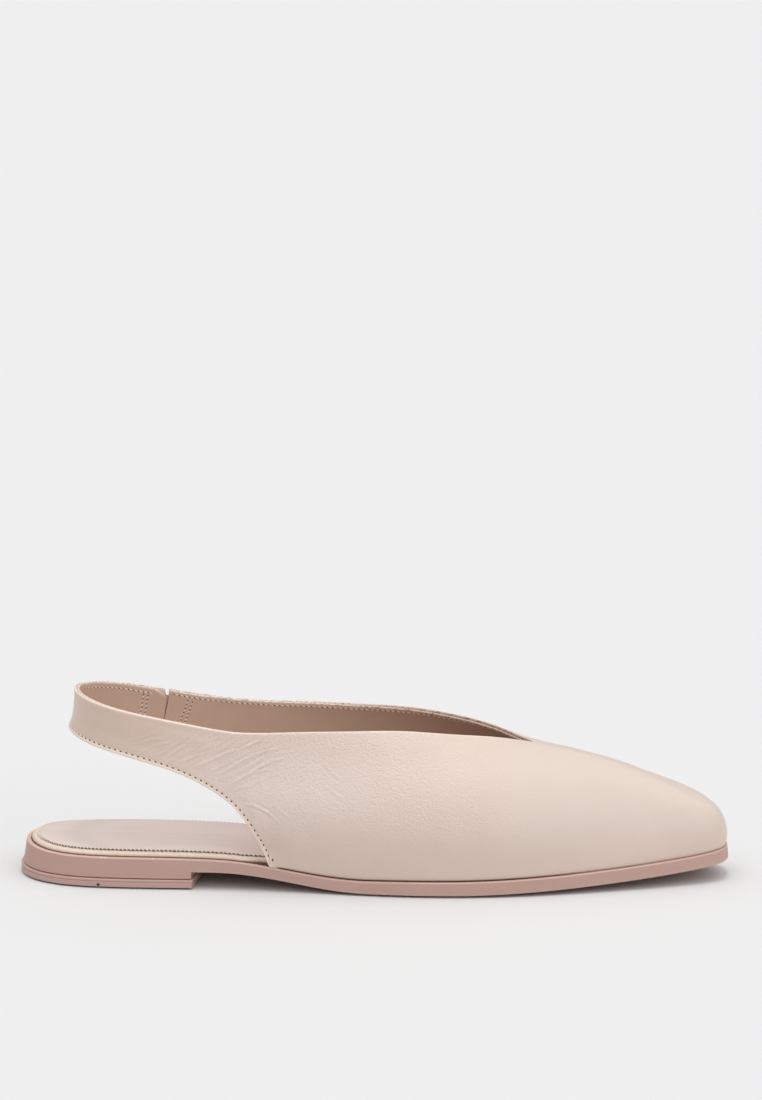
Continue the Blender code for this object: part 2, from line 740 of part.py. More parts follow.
for i in range(len(band_rows) - 1):
    for j in range(wide - 1):
        corner = i * wide + j
        quad = (corner, corner + wide, corner + wide + 1, corner + 1)
        band_faces.append(quad)
        band_faces.append(tuple(size + c for c in quad))
for a, b in zip(rim_loop, rim_loop[1:] + rim_loop[:1]):
    band_faces.append((a, b, size + b, size + a))
solid("strap_elastic", band_points, band_faces, (0.70, 0.60, 0.52), 0.8)
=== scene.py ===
"""Open-back flat shoe for the right foot: its leather, rubber and stitching.

Metres, with +X from heel to toe, -Y the outer side of the foot and +Z up.
Tables are in millimetres and degrees. "along" is measured from the back of the heel, "across"
from the middle line, negative on the outer (lateral) side, and "up" from the floor.
"""
import math

import bmesh
import bpy
import numpy as np
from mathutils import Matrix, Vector
from mathutils.bvhtree import BVHTree


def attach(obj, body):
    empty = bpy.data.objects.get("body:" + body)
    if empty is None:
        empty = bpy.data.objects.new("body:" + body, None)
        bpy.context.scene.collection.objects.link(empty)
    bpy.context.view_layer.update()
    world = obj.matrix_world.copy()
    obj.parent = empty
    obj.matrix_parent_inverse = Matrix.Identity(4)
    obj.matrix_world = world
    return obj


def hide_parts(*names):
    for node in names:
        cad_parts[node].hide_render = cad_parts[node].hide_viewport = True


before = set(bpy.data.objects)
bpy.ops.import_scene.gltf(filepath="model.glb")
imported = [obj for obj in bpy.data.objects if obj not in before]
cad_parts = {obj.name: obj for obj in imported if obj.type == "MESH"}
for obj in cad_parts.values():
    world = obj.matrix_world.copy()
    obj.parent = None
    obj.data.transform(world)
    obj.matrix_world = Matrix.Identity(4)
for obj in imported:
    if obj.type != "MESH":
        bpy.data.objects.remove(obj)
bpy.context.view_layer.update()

# Unit sole: one moulding of pink-brown thermoplastic rubber, with a low heel, a thin waist and
# a raised rim round its top. The upper and the footbed are glued into the recess in the rim.

MM = 0.001
LENGTH = 262.3
HEEL_RISE = 5.6
TOE_SPRING = 6.2
GAP = 0.3
BREAST_LATERAL = 64.4
BREAST_MEDIAL = 72.6
ARCH_START = 73.0
ARCH_END = 130.0
SPRING_START = 160.0
SPRING_POWER = 1.8
LIFT_HEIGHT = 3.6
LIFT_PROUD = 0.4
HEEL_FLARE = 1.7
FORE_FLARE = 0.4
FLARE_END = 95.0
RIM_WIDTH = 1.7
RIM_ROUND = 0.5
RIM_BREAK = 0.15
RECESS_DEPTH = 1.6
SOLE_BEVEL = 0.6
EDGE_LIFT = 0.75
EDGE_LIFT_WIDTH = 4.0
SEAM_BEVEL = 0.25
HEEL_STATIONS = 70
FORE_STATIONS = 150
TREAD_STEPS = 12
CROWDING = 1.4
SHARP_ANGLE = 50.0


def table(header, *rows):
    """Columns of a table by name."""
    return {name: [row[i] for row in rows] for i, name in enumerate(header.split())}


# Plan outline of the sole at its widest level.
OUTLINE = table(
    "along lateral medial",
    (0.0, 0.0, 0.0),
    (2.0, 9.8, 12.0),
    (8.0, 18.2, 20.4),
    (18.5, 24.2, 25.6),
    (33.0, 27.0, 27.4),
    (52.0, 28.0, 26.8),
    (70.0, 28.3, 25.4),
    (90.0, 29.8, 25.0),
    (110.0, 32.8, 27.4),
    (130.0, 35.9, 32.2),
    (150.0, 37.6, 37.0),
    (170.0, 37.1, 40.0),
    (190.0, 34.2, 39.2),
    (210.0, 29.3, 35.0),
    (228.0, 24.0, 29.0),
    (243.0, 18.8, 22.8),
    (254.0, 13.9, 16.9),
    (259.8, 9.4, 11.3),
    (261.9, 4.8, 5.6),
    (262.3, 0.0, 0.0),
)

# Height of the sole's side wall, without the heel.
EDGE = table(
    "along height",
    (0.0, 6.8),
    (7.0, 6.2),
    (18.0, 5.8),
    (60.0, 5.7),
    (95.0, 5.0),
    (115.0, 5.2),
    (140.0, 5.6),
    (165.0, 5.8),
    (262.3, 5.8),
)

# Rounded step from the heel's seam up to the waist, by distance from the breast.
BREAST = table(
    "offset share",
    (-0.35, 0.0),
    (-0.12, 0.04),
    (0.0, 0.15),
    (0.04, 0.82),
    (0.16, 0.96),
    (0.45, 1.0),
)


def spline(knots, values):
    """Natural cubic curve through the values, as a function of the knots."""
    knots = np.asarray(knots, float)
    values = np.asarray(values, float)
    count = len(knots)
    step = np.diff(knots)
    slope = np.diff(values) / step
    matrix = np.eye(count)
    right = np.zeros(count)
    for i in range(1, count - 1):
        matrix[i, i - 1:i + 2] = step[i - 1], 2 * (step[i - 1] + step[i]), step[i]
        right[i] = 6 * (slope[i] - slope[i - 1])
    bend = np.linalg.solve(matrix, right)

    def value(at):
        at = np.asarray(at, float)
        i = np.clip(np.searchsorted(knots, at) - 1, 0, count - 2)
        a = (knots[i + 1] - at) / step[i]
        b = (at - knots[i]) / step[i]
        curve = (a ** 3 - a) * bend[i] + (b ** 3 - b) * bend[i + 1]
        return a * values[i] + b * values[i + 1] + curve * step[i] ** 2 / 6

    return value


def closed_spline(knots, values, period, turn=0.0, overlap=6):
    """Cubic curve through values that repeat after the period, gaining the turn each time."""
    knots = np.asarray(knots, float)
    values = np.asarray(values, float)
    before = slice(-overlap, None)
    after = slice(None, overlap)
    knots = np.concatenate([knots[before] - period, knots, knots[after] + period])
    values = np.concatenate([values[before] - turn, values, values[after] + turn])
    return spline(knots, values)


def smooth_step(start, end, at):
    """0 at the start, 1 at the end and a soft S between them, rising or falling."""
    share = np.clip((np.asarray(at, float) - start) / (end - start), 0.0, 1.0)
    return share * share * (3 - 2 * share)


def seat(along):
    """Underside of the sole without its heel: waist, ball and toe spring."""
    along = np.asarray(along, float)
    arch = np.clip((along - ARCH_START) / (ARCH_END - ARCH_START), 0.0, 1.0)
    toe = np.clip((along - SPRING_START) / (LENGTH - SPRING_START), 0.0, 1.0)
    return HEEL_RISE * (1 + np.cos(math.pi * arch)) / 2 + TOE_SPRING * toe ** SPRING_POWER


edge_height = spline(EDGE["along"], EDGE["height"])


def rim_up(along):
    """Height of the sole's rim above the floor."""
    return seat(along) + edge_height(along)


def flare(along):
    """How far the rim stands in from the widest outline of the sole."""
    return HEEL_FLARE + (FORE_FLARE - HEEL_FLARE) * smooth_step(0.0, FLARE_END, along)


# The outline as one closed curve: heel back, lateral side, toe, medial side.
side_along = OUTLINE["along"]
loop_along = side_along + side_along[-2:0:-1]
loop_across = [-out for out in OUTLINE["lateral"]] + OUTLINE["medial"][-2:0:-1]
loop_chord = np.hypot(
    np.diff(loop_along, append=loop_along[0]), np.diff(loop_across, append=loop_across[0])
)
loop_knots = np.concatenate([[0.0], np.cumsum(loop_chord)[:-1]])
PERIMETER = float(loop_chord.sum())
TOE_KNOT = float(loop_knots[len(side_along) - 1])
outline_along = closed_spline(loop_knots, loop_along, PERIMETER)
outline_across = closed_spline(loop_knots, loop_across, PERIMETER)


def outline_at(knot, inset=0.0):
    """Points (along, across) of the outline, moved in by the inset."""
    knot = np.asarray(knot, float) % PERIMETER
    step = 0.01
    tangent_along = outline_along(knot + step) - outline_along(knot - step)
    tangent_across = outline_across(knot + step) - outline_across(knot - step)
    length = np.hypot(tangent_along, tangent_across)
    along = outline_along(knot) - inset * tangent_across / length
    across = outline_across(knot) + inset * tangent_along / length
    return along, across


def knot_at(along, medial):
    """Place on the outline that lies at this distance from the heel."""
    side = np.linspace(0.0, TOE_KNOT, 600)
    if medial:
        side = PERIMETER - side * (PERIMETER - TOE_KNOT) / TOE_KNOT
    return float(np.interp(along, outline_along(side), side))


MIDDLE = (LENGTH - LIFT_PROUD) / 2
ACROSS_SHIFT = (max(OUTLINE["lateral"]) - max(OUTLINE["medial"])) / 2


def place(along, across, up):
    """Table millimetres to points in the shoe's frame."""
    along, across, up = np.broadcast_arrays(along, across, up)
    return np.stack([along - MIDDLE, across + ACROSS_SHIFT, up], axis=-1) * MM


def hex_color(code):
    """Linear colour of an sRGB hex value."""
    values = [int(code[i:i + 2], 16) / 255 for i in (1, 3, 5)]
    linear = [v / 12.92 if v <= 0.04045 else ((v + 0.055) / 1.055) ** 2.4 for v in values]
    return (*linear, 1.0)


def add_node(tree, kind, inputs=None, **settings):
    """A node with its settings. An input is given by name or number, as a value or a link."""
    made = tree.nodes.new(kind)
    for name, value in settings.items():
        setattr(made, name, value)
    for name, value in (inputs or {}).items():
        if isinstance(value, bpy.types.NodeSocket):
            tree.links.new(value, made.inputs[name])
        else:
            made.inputs[name].default_value = value
    return made


def start_material(name, roughness, **uniform):
    """A material with the values that hold all over: itself, its tree, shader and piece's space."""
    material = bpy.data.materials.new(name)
    material.use_nodes = True
    tree = material.node_tree
    shader = tree.nodes["Principled BSDF"]
    shader.inputs["Roughness"].default_value = roughness
    for socket, value in uniform.items():
        shader.inputs[socket.replace("_", " ")].default_value = value
    return material, tree, shader, add_node(tree, "ShaderNodeTexCoord").outputs["Object"]


def mottled(tree, where, size_mm, first, second, detail):
    """A colour that drifts between two tones in clouds of that size."""
    cloud = add_node(tree, "ShaderNodeTexNoise", {
        "Vector": where, "Scale": 1 / (size_mm * MM), "Detail": detail,
    })
    return add_node(tree, "ShaderNodeMix", {
        0: cloud.outputs["Fac"], 6: hex_color(first), 7: hex_color(second),
    }, data_type="RGBA").outputs[2]


def shaded(tree, tone, mark, shade):
    """The tone, turned to the shade where the piece carries that mark."""
    marked = add_node(tree, "ShaderNodeAttribute", attribute_name=mark)
    return add_node(tree, "ShaderNodeMix", {
        0: marked.outputs["Fac"], 6: tone, 7: hex_color(shade),
    }, data_type="RGBA").outputs[2]


def fine_grain(tree, shader, where, size_mm, detail, strength, depth_mm):
    """Fine unevenness all over the surface. Gives its height, for what else follows it."""
    grain = add_node(tree, "ShaderNodeTexNoise", {
        "Vector": where, "Scale": 1 / (size_mm * MM), "Detail": detail,
    })
    bump = add_node(tree, "ShaderNodeBump", {
        "Height": grain.outputs["Fac"], "Strength": strength, "Distance": depth_mm * MM,
    })
    tree.links.new(bump.outputs["Normal"], shader.inputs["Normal"])
    return grain.outputs["Fac"]


def set_in_place(name, mesh):
    """The mesh as a piece that rides with the shoe."""
    piece = bpy.data.objects.new(name, mesh)
    bpy.context.scene.collection.objects.link(piece)
    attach(piece, "root")
    return piece


def make_piece(name, points, faces, materials, marks=None, face_materials=None):
    """A piece from points and faces. Marks are values at each point for its materials."""
    mesh = bpy.data.meshes.new(name)
    mesh.from_pydata([tuple(p) for p in points], [], faces)
    for material in materials:
        mesh.materials.append(material)
    if face_materials is not None:
        mesh.polygons.foreach_set("material_index", np.asarray(face_materials, np.int32))
    for mark, values in (marks or {}).items():
        layer = mesh.attributes.new(mark, "FLOAT", "POINT")
        layer.data.foreach_set("value", np.asarray(values, np.float32))
    shape = bmesh.new()
    shape.from_mesh(mesh)
    bmesh.ops.recalc_face_normals(shape, faces=shape.faces)
    shape.to_mesh(mesh)
    shape.free()
    mesh.shade_smooth()
    mesh.set_sharp_from_angle(angle=math.radians(SHARP_ANGLE))
    return set_in_place(name, mesh)


def ring_faces(levels, count):
    """Quads between closed loops of points that are stacked level by level."""
    faces = []
    for level in range(levels - 1):
        base = level * count
        for j in range(count):
            k = (j + 1) % count
            faces.append((base + j, base + k, base + count + k, base + count + j))
    return faces


def bridge(points, faces, base, half, steps, lift=None):
    """Closes a loop of points with rungs from side to side, each divided into steps.

    The lift of a point depends on its distance from the edge and the number of its rung.
    """
    count = 2 * half
    rungs = [[base]]
    for k in range(1, half):
        left, right = base + k, base + count - k
        rung = [left]
        for s in range(1, steps):
            share = (1 - math.cos(math.pi * s / steps)) / 2
            point = points[left] * (1 - share) + points[right] * share
            if lift is not None:
                width = np.linalg.norm(points[right] - points[left]) / MM
                raised = lift(min(share, 1 - share) * width, k)
                point = point + np.array([0.0, 0.0, raised * MM])
            rung.append(len(points))
            points.append(point)
        rungs.append(rung + [right])
    rungs.append([base + half])
    for first, second in zip(rungs, rungs[1:]):
        for s in range(steps):
            corners = []
            for rung, i in ((first, s), (first, s + 1), (second, s + 1), (second, s)):
                corner = rung[min(i, len(rung) - 1)]
                if corner not in corners:
                    corners.append(corner)
            faces.append(tuple(corners))


def quarter_turn(steps):
    """Sines and cosines from 0 to 90 degrees."""
    angles = np.linspace(0.0, math.pi / 2, steps)
    return list(zip(np.sin(angles), np.cos(angles)))


# Stations round the outline: the same number on both sides, crowded at the breast.
sole_knots = []
tread_share = []
for medial, breast in ((False, BREAST_LATERAL), (True, BREAST_MEDIAL)):
    back = PERIMETER if medial else 0.0
    offsets = np.array(BREAST["offset"])
    step_knots = [knot_at(breast + offset, medial) for offset in offsets]
    heel = np.linspace(back, step_knots[0], HEEL_STATIONS)[:-1]
    fore_share = 1 - (1 - np.linspace(0.0, 1.0, FORE_STATIONS)[1:]) ** CROWDING
    fore = step_knots[-1] + (TOE_KNOT - step_knots[-1]) * fore_share
    sole_knots.append(np.concatenate([heel, step_knots, fore]))
    tread_share.append(np.concatenate([np.zeros(len(heel)), BREAST["share"], np.ones(len(fore))]))
sole_half = len(sole_knots[0]) - 1
knots = np.concatenate([sole_knots[0], sole_knots[1][-2:0:-1]])
share = np.concatenate([tread_share[0], tread_share[1][-2:0:-1]])
along = outline_at(knots)[0]
heel_up = LIFT_HEIGHT + GAP
tread_up = heel_up + (seat(along) + EDGE_LIFT - heel_up) * share
bevel = SEAM_BEVEL + (SOLE_BEVEL - SEAM_BEVEL) * share
top_up = rim_up(along)
rim_in = flare(along)
foot_inset = rim_in * tread_up / top_up * smooth_step(FLARE_END, BREAST_MEDIAL, along)
sole_levels = []
rim_highlight_marks = []
# The rim mark paints highlight on the tread bevel, the rim's rounded top and its inner edge.
for sine, cosine in quarter_turn(5):
    sole_levels.append((foot_inset + bevel * (1 - sine), tread_up + bevel * (1 - cosine)))
    rim_highlight_marks.append(0.5)
for part in np.linspace(0.0, 1.0, 9)[1:-1]:
    wall_up = tread_up + bevel
    sole_levels.append((
        foot_inset + (rim_in - foot_inset) * part,
        wall_up + (top_up - RIM_ROUND - wall_up) * part,
    ))
    rim_highlight_marks.append(0.0)
for sine, cosine in quarter_turn(6):
    sole_levels.append((rim_in + RIM_ROUND * (1 - cosine), top_up - RIM_ROUND * (1 - sine)))
    rim_highlight_marks.append(min(1.0, 2 * sine))
sole_levels += [
    (rim_in + RIM_WIDTH - RIM_BREAK, top_up),
    (rim_in + RIM_WIDTH, top_up - RIM_BREAK),
    (rim_in + RIM_WIDTH, top_up - RECESS_DEPTH),
]
rim_highlight_marks += [0.9, 0.3, 0.0]
sole_points = []
for inset, up in sole_levels:
    sole_points.extend(place(*outline_at(knots, inset), up))
sole_faces = ring_faces(len(sole_levels), len(knots))
sole_highlight_marks = list(np.repeat(rim_highlight_marks, len(knots)))


def tread_drop(from_edge, rung):
    """The tread is slightly crowned, so that its edge stands off the floor."""
    return -EDGE_LIFT * share[rung] * smooth_step(0.0, EDGE_LIFT_WIDTH, from_edge)


bridge(sole_points, sole_faces, 0, sole_half, TREAD_STEPS, tread_drop)
bridge(sole_points, sole_faces, (len(sole_levels) - 1) * len(knots), sole_half, TREAD_STEPS)
sole_highlight_marks += [0.0] * (len(sole_points) - len(sole_highlight_marks))

# Moulded thermoplastic rubber: an even pink-brown with a faint cloudiness and a fine matt grit
# from the mould. The rim's rounded top and the tread's bevel are lightened as painted highlight.
# The real grit is finer, it is drawn as coarse as it needs to show.
SOLE_TONE = "#C19F94"
SOLE_CLOUD = "#B79488"
SOLE_RIM_HIGHLIGHT = "#CFAEA2"
GLUE_SPECK = "#E6D8CC"
CLOUD_MM = 22.0
GRIT_MM = 0.35
SPECK_MM = 0.8
SPECKS_ALONG = (31.0, 32.6, 50.4)

sole_rubber, tree, shader, where = start_material("moulded_rubber", 0.52)
tone = mottled(tree, where, CLOUD_MM, SOLE_TONE, SOLE_CLOUD, detail=3.0)
# Painted highlight: the rim and the tread bevel are lightened where they carry the rim mark.
tone = shaded(tree, tone, "rim", SOLE_RIM_HIGHLIGHT)
grit = fine_grain(tree, shader, where, GRIT_MM, detail=2.0, strength=0.35, depth_mm=0.05)
for speck_along in SPECKS_ALONG:
    speck_inset = flare(speck_along) + RIM_ROUND
    speck_at = place(*outline_at(knot_at(speck_along, False), speck_inset), rim_up(speck_along))
    away = add_node(tree, "ShaderNodeVectorMath", {
        0: where, 1: tuple(float(v) for v in speck_at),
    }, operation="DISTANCE")
    near = add_node(tree, "ShaderNodeMapRange", {
        "Value": away.outputs["Value"], "From Min": SPECK_MM * MM, "From Max": 0.4 * SPECK_MM * MM,
    })
    broken = add_node(tree, "ShaderNodeMath", {
        0: near.outputs["Result"], 1: grit,
    }, operation="MULTIPLY")
    tone = add_node(tree, "ShaderNodeMix", {
        0: broken.outputs["Value"], 6: tone, 7: hex_color(GLUE_SPECK),
    }, data_type="RGBA").outputs[2]
tree.links.new(tone, shader.inputs["Base Color"])

outsole = make_piece(
    "unit_sole", sole_points, sole_faces, [sole_rubber], {"rim": sole_highlight_marks}
)
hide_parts("outsole")

# Top lift: the wearing layer under the heel, moulded in the same rubber and cemented on.
# Its edge stands a little proud, with a fine line round it and a small vent hole in the side.

LIFT_BEVEL = 0.3
LIFT_EDGE_UP = 0.6
LIFT_TREAD_INSET = 2.6
LIFT_TOP_BEVEL = 0.3
LIFT_LINE_UP = LIFT_HEIGHT - 0.95
LIFT_LINE_DEPTH = 0.26
LIFT_LINE_WIDTH = 0.15
VENT_ALONG = 30.2
VENT_UP = 1.3
VENT_RADIUS = 0.5
VENT_DEPTH = 0.8
VENT_REACH = 1.4
VENT_STATIONS = 21
LIFT_STATIONS = 70
LIFT_LEVEL_STEP = 0.08

vent_knot = knot_at(VENT_ALONG, False)
lateral_end = knot_at(BREAST_LATERAL, False)
lift_knots = np.concatenate([
    np.linspace(knot_at(BREAST_MEDIAL, True), PERIMETER, LIFT_STATIONS)[:-1],
    np.linspace(0.0, vent_knot - VENT_REACH - 0.1, LIFT_STATIONS // 2),
    np.linspace(vent_knot - VENT_REACH, vent_knot + VENT_REACH, VENT_STATIONS),
    np.linspace(vent_knot + VENT_REACH + 0.1, lateral_end, LIFT_STATIONS // 2),
])
vent_across = np.abs((lift_knots - vent_knot + PERIMETER / 2) % PERIMETER - PERIMETER / 2)
lift_levels = [(LIFT_TREAD_INSET, 0.0)]
for sine, cosine in quarter_turn(4):
    lift_levels.append((LIFT_BEVEL * (1 - sine), LIFT_EDGE_UP + LIFT_BEVEL * (1 - cosine)))
wall_foot = LIFT_EDGE_UP + LIFT_BEVEL + 0.1
wall_top = LIFT_HEIGHT - LIFT_TOP_BEVEL - 0.05
for up in np.arange(wall_foot, wall_top, LIFT_LEVEL_STEP):
    line = math.exp(-((up - LIFT_LINE_UP) / LIFT_LINE_WIDTH) ** 2)
    lift_levels.append((LIFT_LINE_DEPTH * line, up))
for sine, cosine in quarter_turn(4):
    lift_levels.append((
        LIFT_TOP_BEVEL * (1 - cosine), LIFT_HEIGHT - LIFT_TOP_BEVEL * (1 - sine),
    ))
lift_points = []
vent_shade_marks = []
for inset, up in lift_levels:
    vent = np.exp(-((vent_across ** 2 + (up - VENT_UP) ** 2) / VENT_RADIUS ** 2) ** 2)
    level_along, level_across = outline_at(lift_knots, inset - LIFT_PROUD + VENT_DEPTH * vent)
    level_along[0] -= inset - LIFT_PROUD
    level_along[-1] -= inset - LIFT_PROUD
    lift_points.extend(place(level_along, level_across, up))
    vent_shade_marks.extend(vent)
lift_count = len(lift_knots)
lift_faces = ring_faces(len(lift_levels), lift_count)
lift_faces.append(tuple(range(lift_count)))
lift_faces.append(tuple(range(len(lift_points) - lift_count, len(lift_points))))

# Harder rubber of the same kind: satin and a shade paler; the vent hole is painted nearly black as
# painted shade.
LIFT_TONE = "#C6A49A"
LIFT_CLOUD = "#BB9990"
VENT_PAINTED_SHADE = "#17110F"

lift_rubber, tree, shader, where = start_material("heel_lift_rubber", 0.48)
tone = mottled(tree, where, CLOUD_MM, LIFT_TONE, LIFT_CLOUD, detail=3.0)
# Painted shade: the vent hole is coloured nearly black.
tone = shaded(tree, tone, "vent", VENT_PAINTED_SHADE)
tree.links.new(tone, shader.inputs["Base Color"])
fine_grain(tree, shader, where, GRIT_MM, detail=2.0, strength=0.3, depth_mm=0.05)

heel_lift = make_piece(
    "top_lift", lift_points, lift_faces, [lift_rubber], {"vent": vent_shade_marks}
)
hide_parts("heel_lift")

# Footbed: insole board with a thin pad, its edge wrapped in cream leather and rolled round.
# It lies in the sole's recess and shows as a pale cord inside the rim at the open heel.

FOOTBED_PROUD = 1.6
FOOTBED_ROUND = 1.4
FOOTBED_STEP_START = 82.0
FOOTBED_STEP_END = 91.5
FEATHER_GAP = 0.4
FOOT_WALL = 1.3
TUCK = 0.9
PUCKER_MM = 0.06
FOOTBED_BREAK = 0.2
GAP_SHADE_HEIGHT = (0.2, 0.6)
PLATE_HALF = 420


def footbed_inset(along):
    """Edge of the footbed: close to the rim at the heel, inside the upper further on."""
    step = smooth_step(FOOTBED_STEP_START, FOOTBED_STEP_END, along)
    return flare(along) + RIM_WIDTH + GAP + (FEATHER_GAP + FOOT_WALL + TUCK) * step


plate_knots = np.concatenate([
    np.linspace(0.0, TOE_KNOT, PLATE_HALF + 1),
    np.linspace(TOE_KNOT, PERIMETER, PLATE_HALF + 1)[1:-1],
])
plate_along = outline_at(plate_knots)[0]
plate_edge = footbed_inset(plate_along)
board_top = rim_up(plate_along) + FOOTBED_PROUD
board_foot = rim_up(plate_along) - RECESS_DEPTH + GAP
pucker = PUCKER_MM * np.sin(plate_knots * 1.9 + 2.0 * np.sin(plate_knots * 0.31))
footbed_levels = [
    (plate_edge + FOOTBED_BREAK, board_foot), (plate_edge, board_foot + FOOTBED_BREAK),
]
for sine, cosine in quarter_turn(9):
    footbed_levels.append((
        plate_edge + FOOTBED_ROUND * (1 - cosine) + pucker * cosine,
        board_top - FOOTBED_ROUND * (1 - sine) + pucker * sine,
    ))
footbed_points = []
gap_shade_marks = []
for inset, up in footbed_levels:
    footbed_points.extend(place(*outline_at(plate_knots, inset), up))
    # Painted shade: the footbed darkens where it goes down into the gap at the rim.
    gap_shade_marks.extend(1 - smooth_step(*GAP_SHADE_HEIGHT, up - rim_up(plate_along)))
footbed_faces = ring_faces(len(footbed_levels), len(plate_knots))
bridge(footbed_points, footbed_faces, 0, PLATE_HALF, 4)
bridge(footbed_points, footbed_faces, (len(footbed_levels) - 1) * len(plate_knots), PLATE_HALF, 4)
gap_shade_marks += [0.0] * (len(footbed_points) - len(gap_shade_marks))

# Cream wrapping leather: thin, smooth and satin, with faint creases across the roll. The foot of
# the roll, down in the gap at the rim, is darkened as painted shade. Its pores, and those of the
# sock, are drawn coarser than the real ones so that they show.
BED_TONE = "#E4D3C3"
BED_SHADE = "#D6C0AE"
BED_GAP_SHADE = "#8A6E62"
BED_MOTTLE_MM = 3.0
BED_GRAIN_MM = 0.5

bed_leather, tree, shader, where = start_material("cream_wrap_leather", 0.45)
tone = mottled(tree, where, BED_MOTTLE_MM, BED_TONE, BED_SHADE, detail=4.0)
tone = shaded(tree, tone, "line", BED_GAP_SHADE)
tree.links.new(tone, shader.inputs["Base Color"])
fine_grain(tree, shader, where, BED_GRAIN_MM, detail=3.0, strength=0.4, depth_mm=0.06)

footbed = make_piece(
    "wrapped_footbed", footbed_points, footbed_faces, [bed_leather],
    {"line": gap_shade_marks},
)
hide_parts("footbed")

# Sock: the thin leather sheet that the foot stands on, cut a little smaller than the footbed,
# glued on and whipped down round its edge with short slanting stitches.

SOCK_INSET = 2.5
SOCK_THICKNESS = 0.9
SOCK_EDGE = 0.3
SOCK_ROLL = 2.2
SOCK_NOTCH = 0.12
SOCK_CLEAR = 0.12
SOCK_UNDERCUT = 0.35
SOCK_FOOT_ROUND = 0.16
SOCK_WALL_LEAN = 0.04
SOCK_RIM_ROUND = (0.22, 0.12)
SOCK_PITCH = 1.55
SOCK_STEPS = 40

sock_inset = plate_edge + SOCK_INSET
sock_notch = SOCK_NOTCH * (1 + np.cos(2 * math.pi * plate_knots / SOCK_PITCH)) / 2
sock_foot = board_top + SOCK_CLEAR
sock_rim = board_top + GAP + SOCK_EDGE
sock_wall = sock_inset + sock_notch
sock_levels = (
    (sock_inset + SOCK_UNDERCUT, sock_foot),
    (sock_wall, sock_foot + SOCK_FOOT_ROUND),
    (sock_wall + SOCK_WALL_LEAN, sock_rim - SOCK_RIM_ROUND[1]),
    (sock_wall + SOCK_RIM_ROUND[0], sock_rim),
)
sock_points = []
for inset, up in sock_levels:
    sock_points.extend(place(*outline_at(plate_knots, inset), up))
sock_faces = ring_faces(len(sock_levels), len(plate_knots))


def sock_lift(from_edge, rung):
    """Height that the sock gains from its thinned edge towards the middle."""
    return (SOCK_THICKNESS - SOCK_EDGE) * (1 - math.exp(-from_edge / SOCK_ROLL))


bridge(sock_points, sock_faces, 0, PLATE_HALF, 4)
top_loop = (len(sock_levels) - 1) * len(plate_knots)
bridge(sock_points, sock_faces, top_loop, PLATE_HALF, SOCK_STEPS, sock_lift)
# The sheet's cut edge is painted dark brown: its raw edge, deepened as painted shade along the
# sock's edge.
raw_edge_shade_marks = list(np.repeat([1.0, 1.0, 1.0, 0.25], len(plate_knots)))
raw_edge_shade_marks += [0.0] * (len(sock_points) - len(raw_edge_shade_marks))

# Lining leather of the sock: pinkish grey and satin, with faint lengthwise streaks painted in as
# sheen.
SOCK_TONE = "#D8C9C2"
SOCK_SHADE = "#CDBCB5"
SOCK_RAW_EDGE_SHADE = "#634B3F"
SHEEN_STREAK_MM = (60.0, 5.0, 5.0)
SOCK_GRAIN_MM = 0.45

sock_leather, tree, shader, where = start_material("sock_lining_leather", 0.42)
# Painted sheen: lighter and darker lengthwise streaks.
drawn = add_node(tree, "ShaderNodeMapping", {
    "Vector": where, "Scale": tuple(1 / (size * MM) for size in SHEEN_STREAK_MM),
})
sheen_streaks = add_node(tree, "ShaderNodeTexNoise", {
    "Vector": drawn.outputs["Vector"], "Scale": 1.0, "Detail": 3.0,
})
tone = add_node(tree, "ShaderNodeMix", {
    0: sheen_streaks.outputs["Fac"], 6: hex_color(SOCK_TONE), 7: hex_color(SOCK_SHADE),
}, data_type="RGBA").outputs[2]
# Painted shade along the cut edge of the sheet.
tone = shaded(tree, tone, "raw", SOCK_RAW_EDGE_SHADE)
tree.links.new(tone, shader.inputs["Base Color"])
fine_grain(tree, shader, where, SOCK_GRAIN_MM, detail=3.0, strength=0.3, depth_mm=0.05)

sock = make_piece(
    "sock", sock_points, sock_faces, [sock_leather], {"raw": raw_edge_shade_marks}
)
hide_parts("insole_sock")

# Edge stitching of the sock: a row of short slanting whip stitches in pale thread, which
# runs round the sheet's edge and bites into the cream wrap beside it.

SOCK_STITCH_LENGTH = 1.3
SOCK_THREAD = 0.2
SOCK_STITCH_RISE = 0.2
SOCK_STITCH_SLANT = 50.0
SOCK_HOLE = 0.1
SOCK_STITCH_DIP = 0.1
SOCK_STITCH_CLIMB = 0.35
SOCK_STITCH_LEAN = 0.45
SOCK_HOLE_AFTER = 0.62

# Waxed polyester thread: pale, a little glossy on its rounded strands.
THREAD_TONE = "#F1E2D5"
THREAD_SHADE = "#DCC8B9"
FLUFF_MM = 0.4
thread, tree, shader, where = start_material("waxed_thread", 0.5, Sheen_Weight=0.2)
tone = mottled(tree, where, FLUFF_MM, THREAD_TONE, THREAD_SHADE, detail=2.0)
tree.links.new(tone, shader.inputs["Base Color"])

# Needle hole: the dark bottom of a punched hole, where hardly any light returns.
HOLE_TONE = "#2E211B"
HOLE_FIBRE = "#4A382F"
HOLE_FIBRE_MM = 0.5
hole_dark, tree, shader, where = start_material("needle_hole", 0.9, Specular_IOR_Level=0.05)
tone = mottled(tree, where, HOLE_FIBRE_MM, HOLE_TONE, HOLE_FIBRE, detail=1.0)
tree.links.new(tone, shader.inputs["Base Color"])


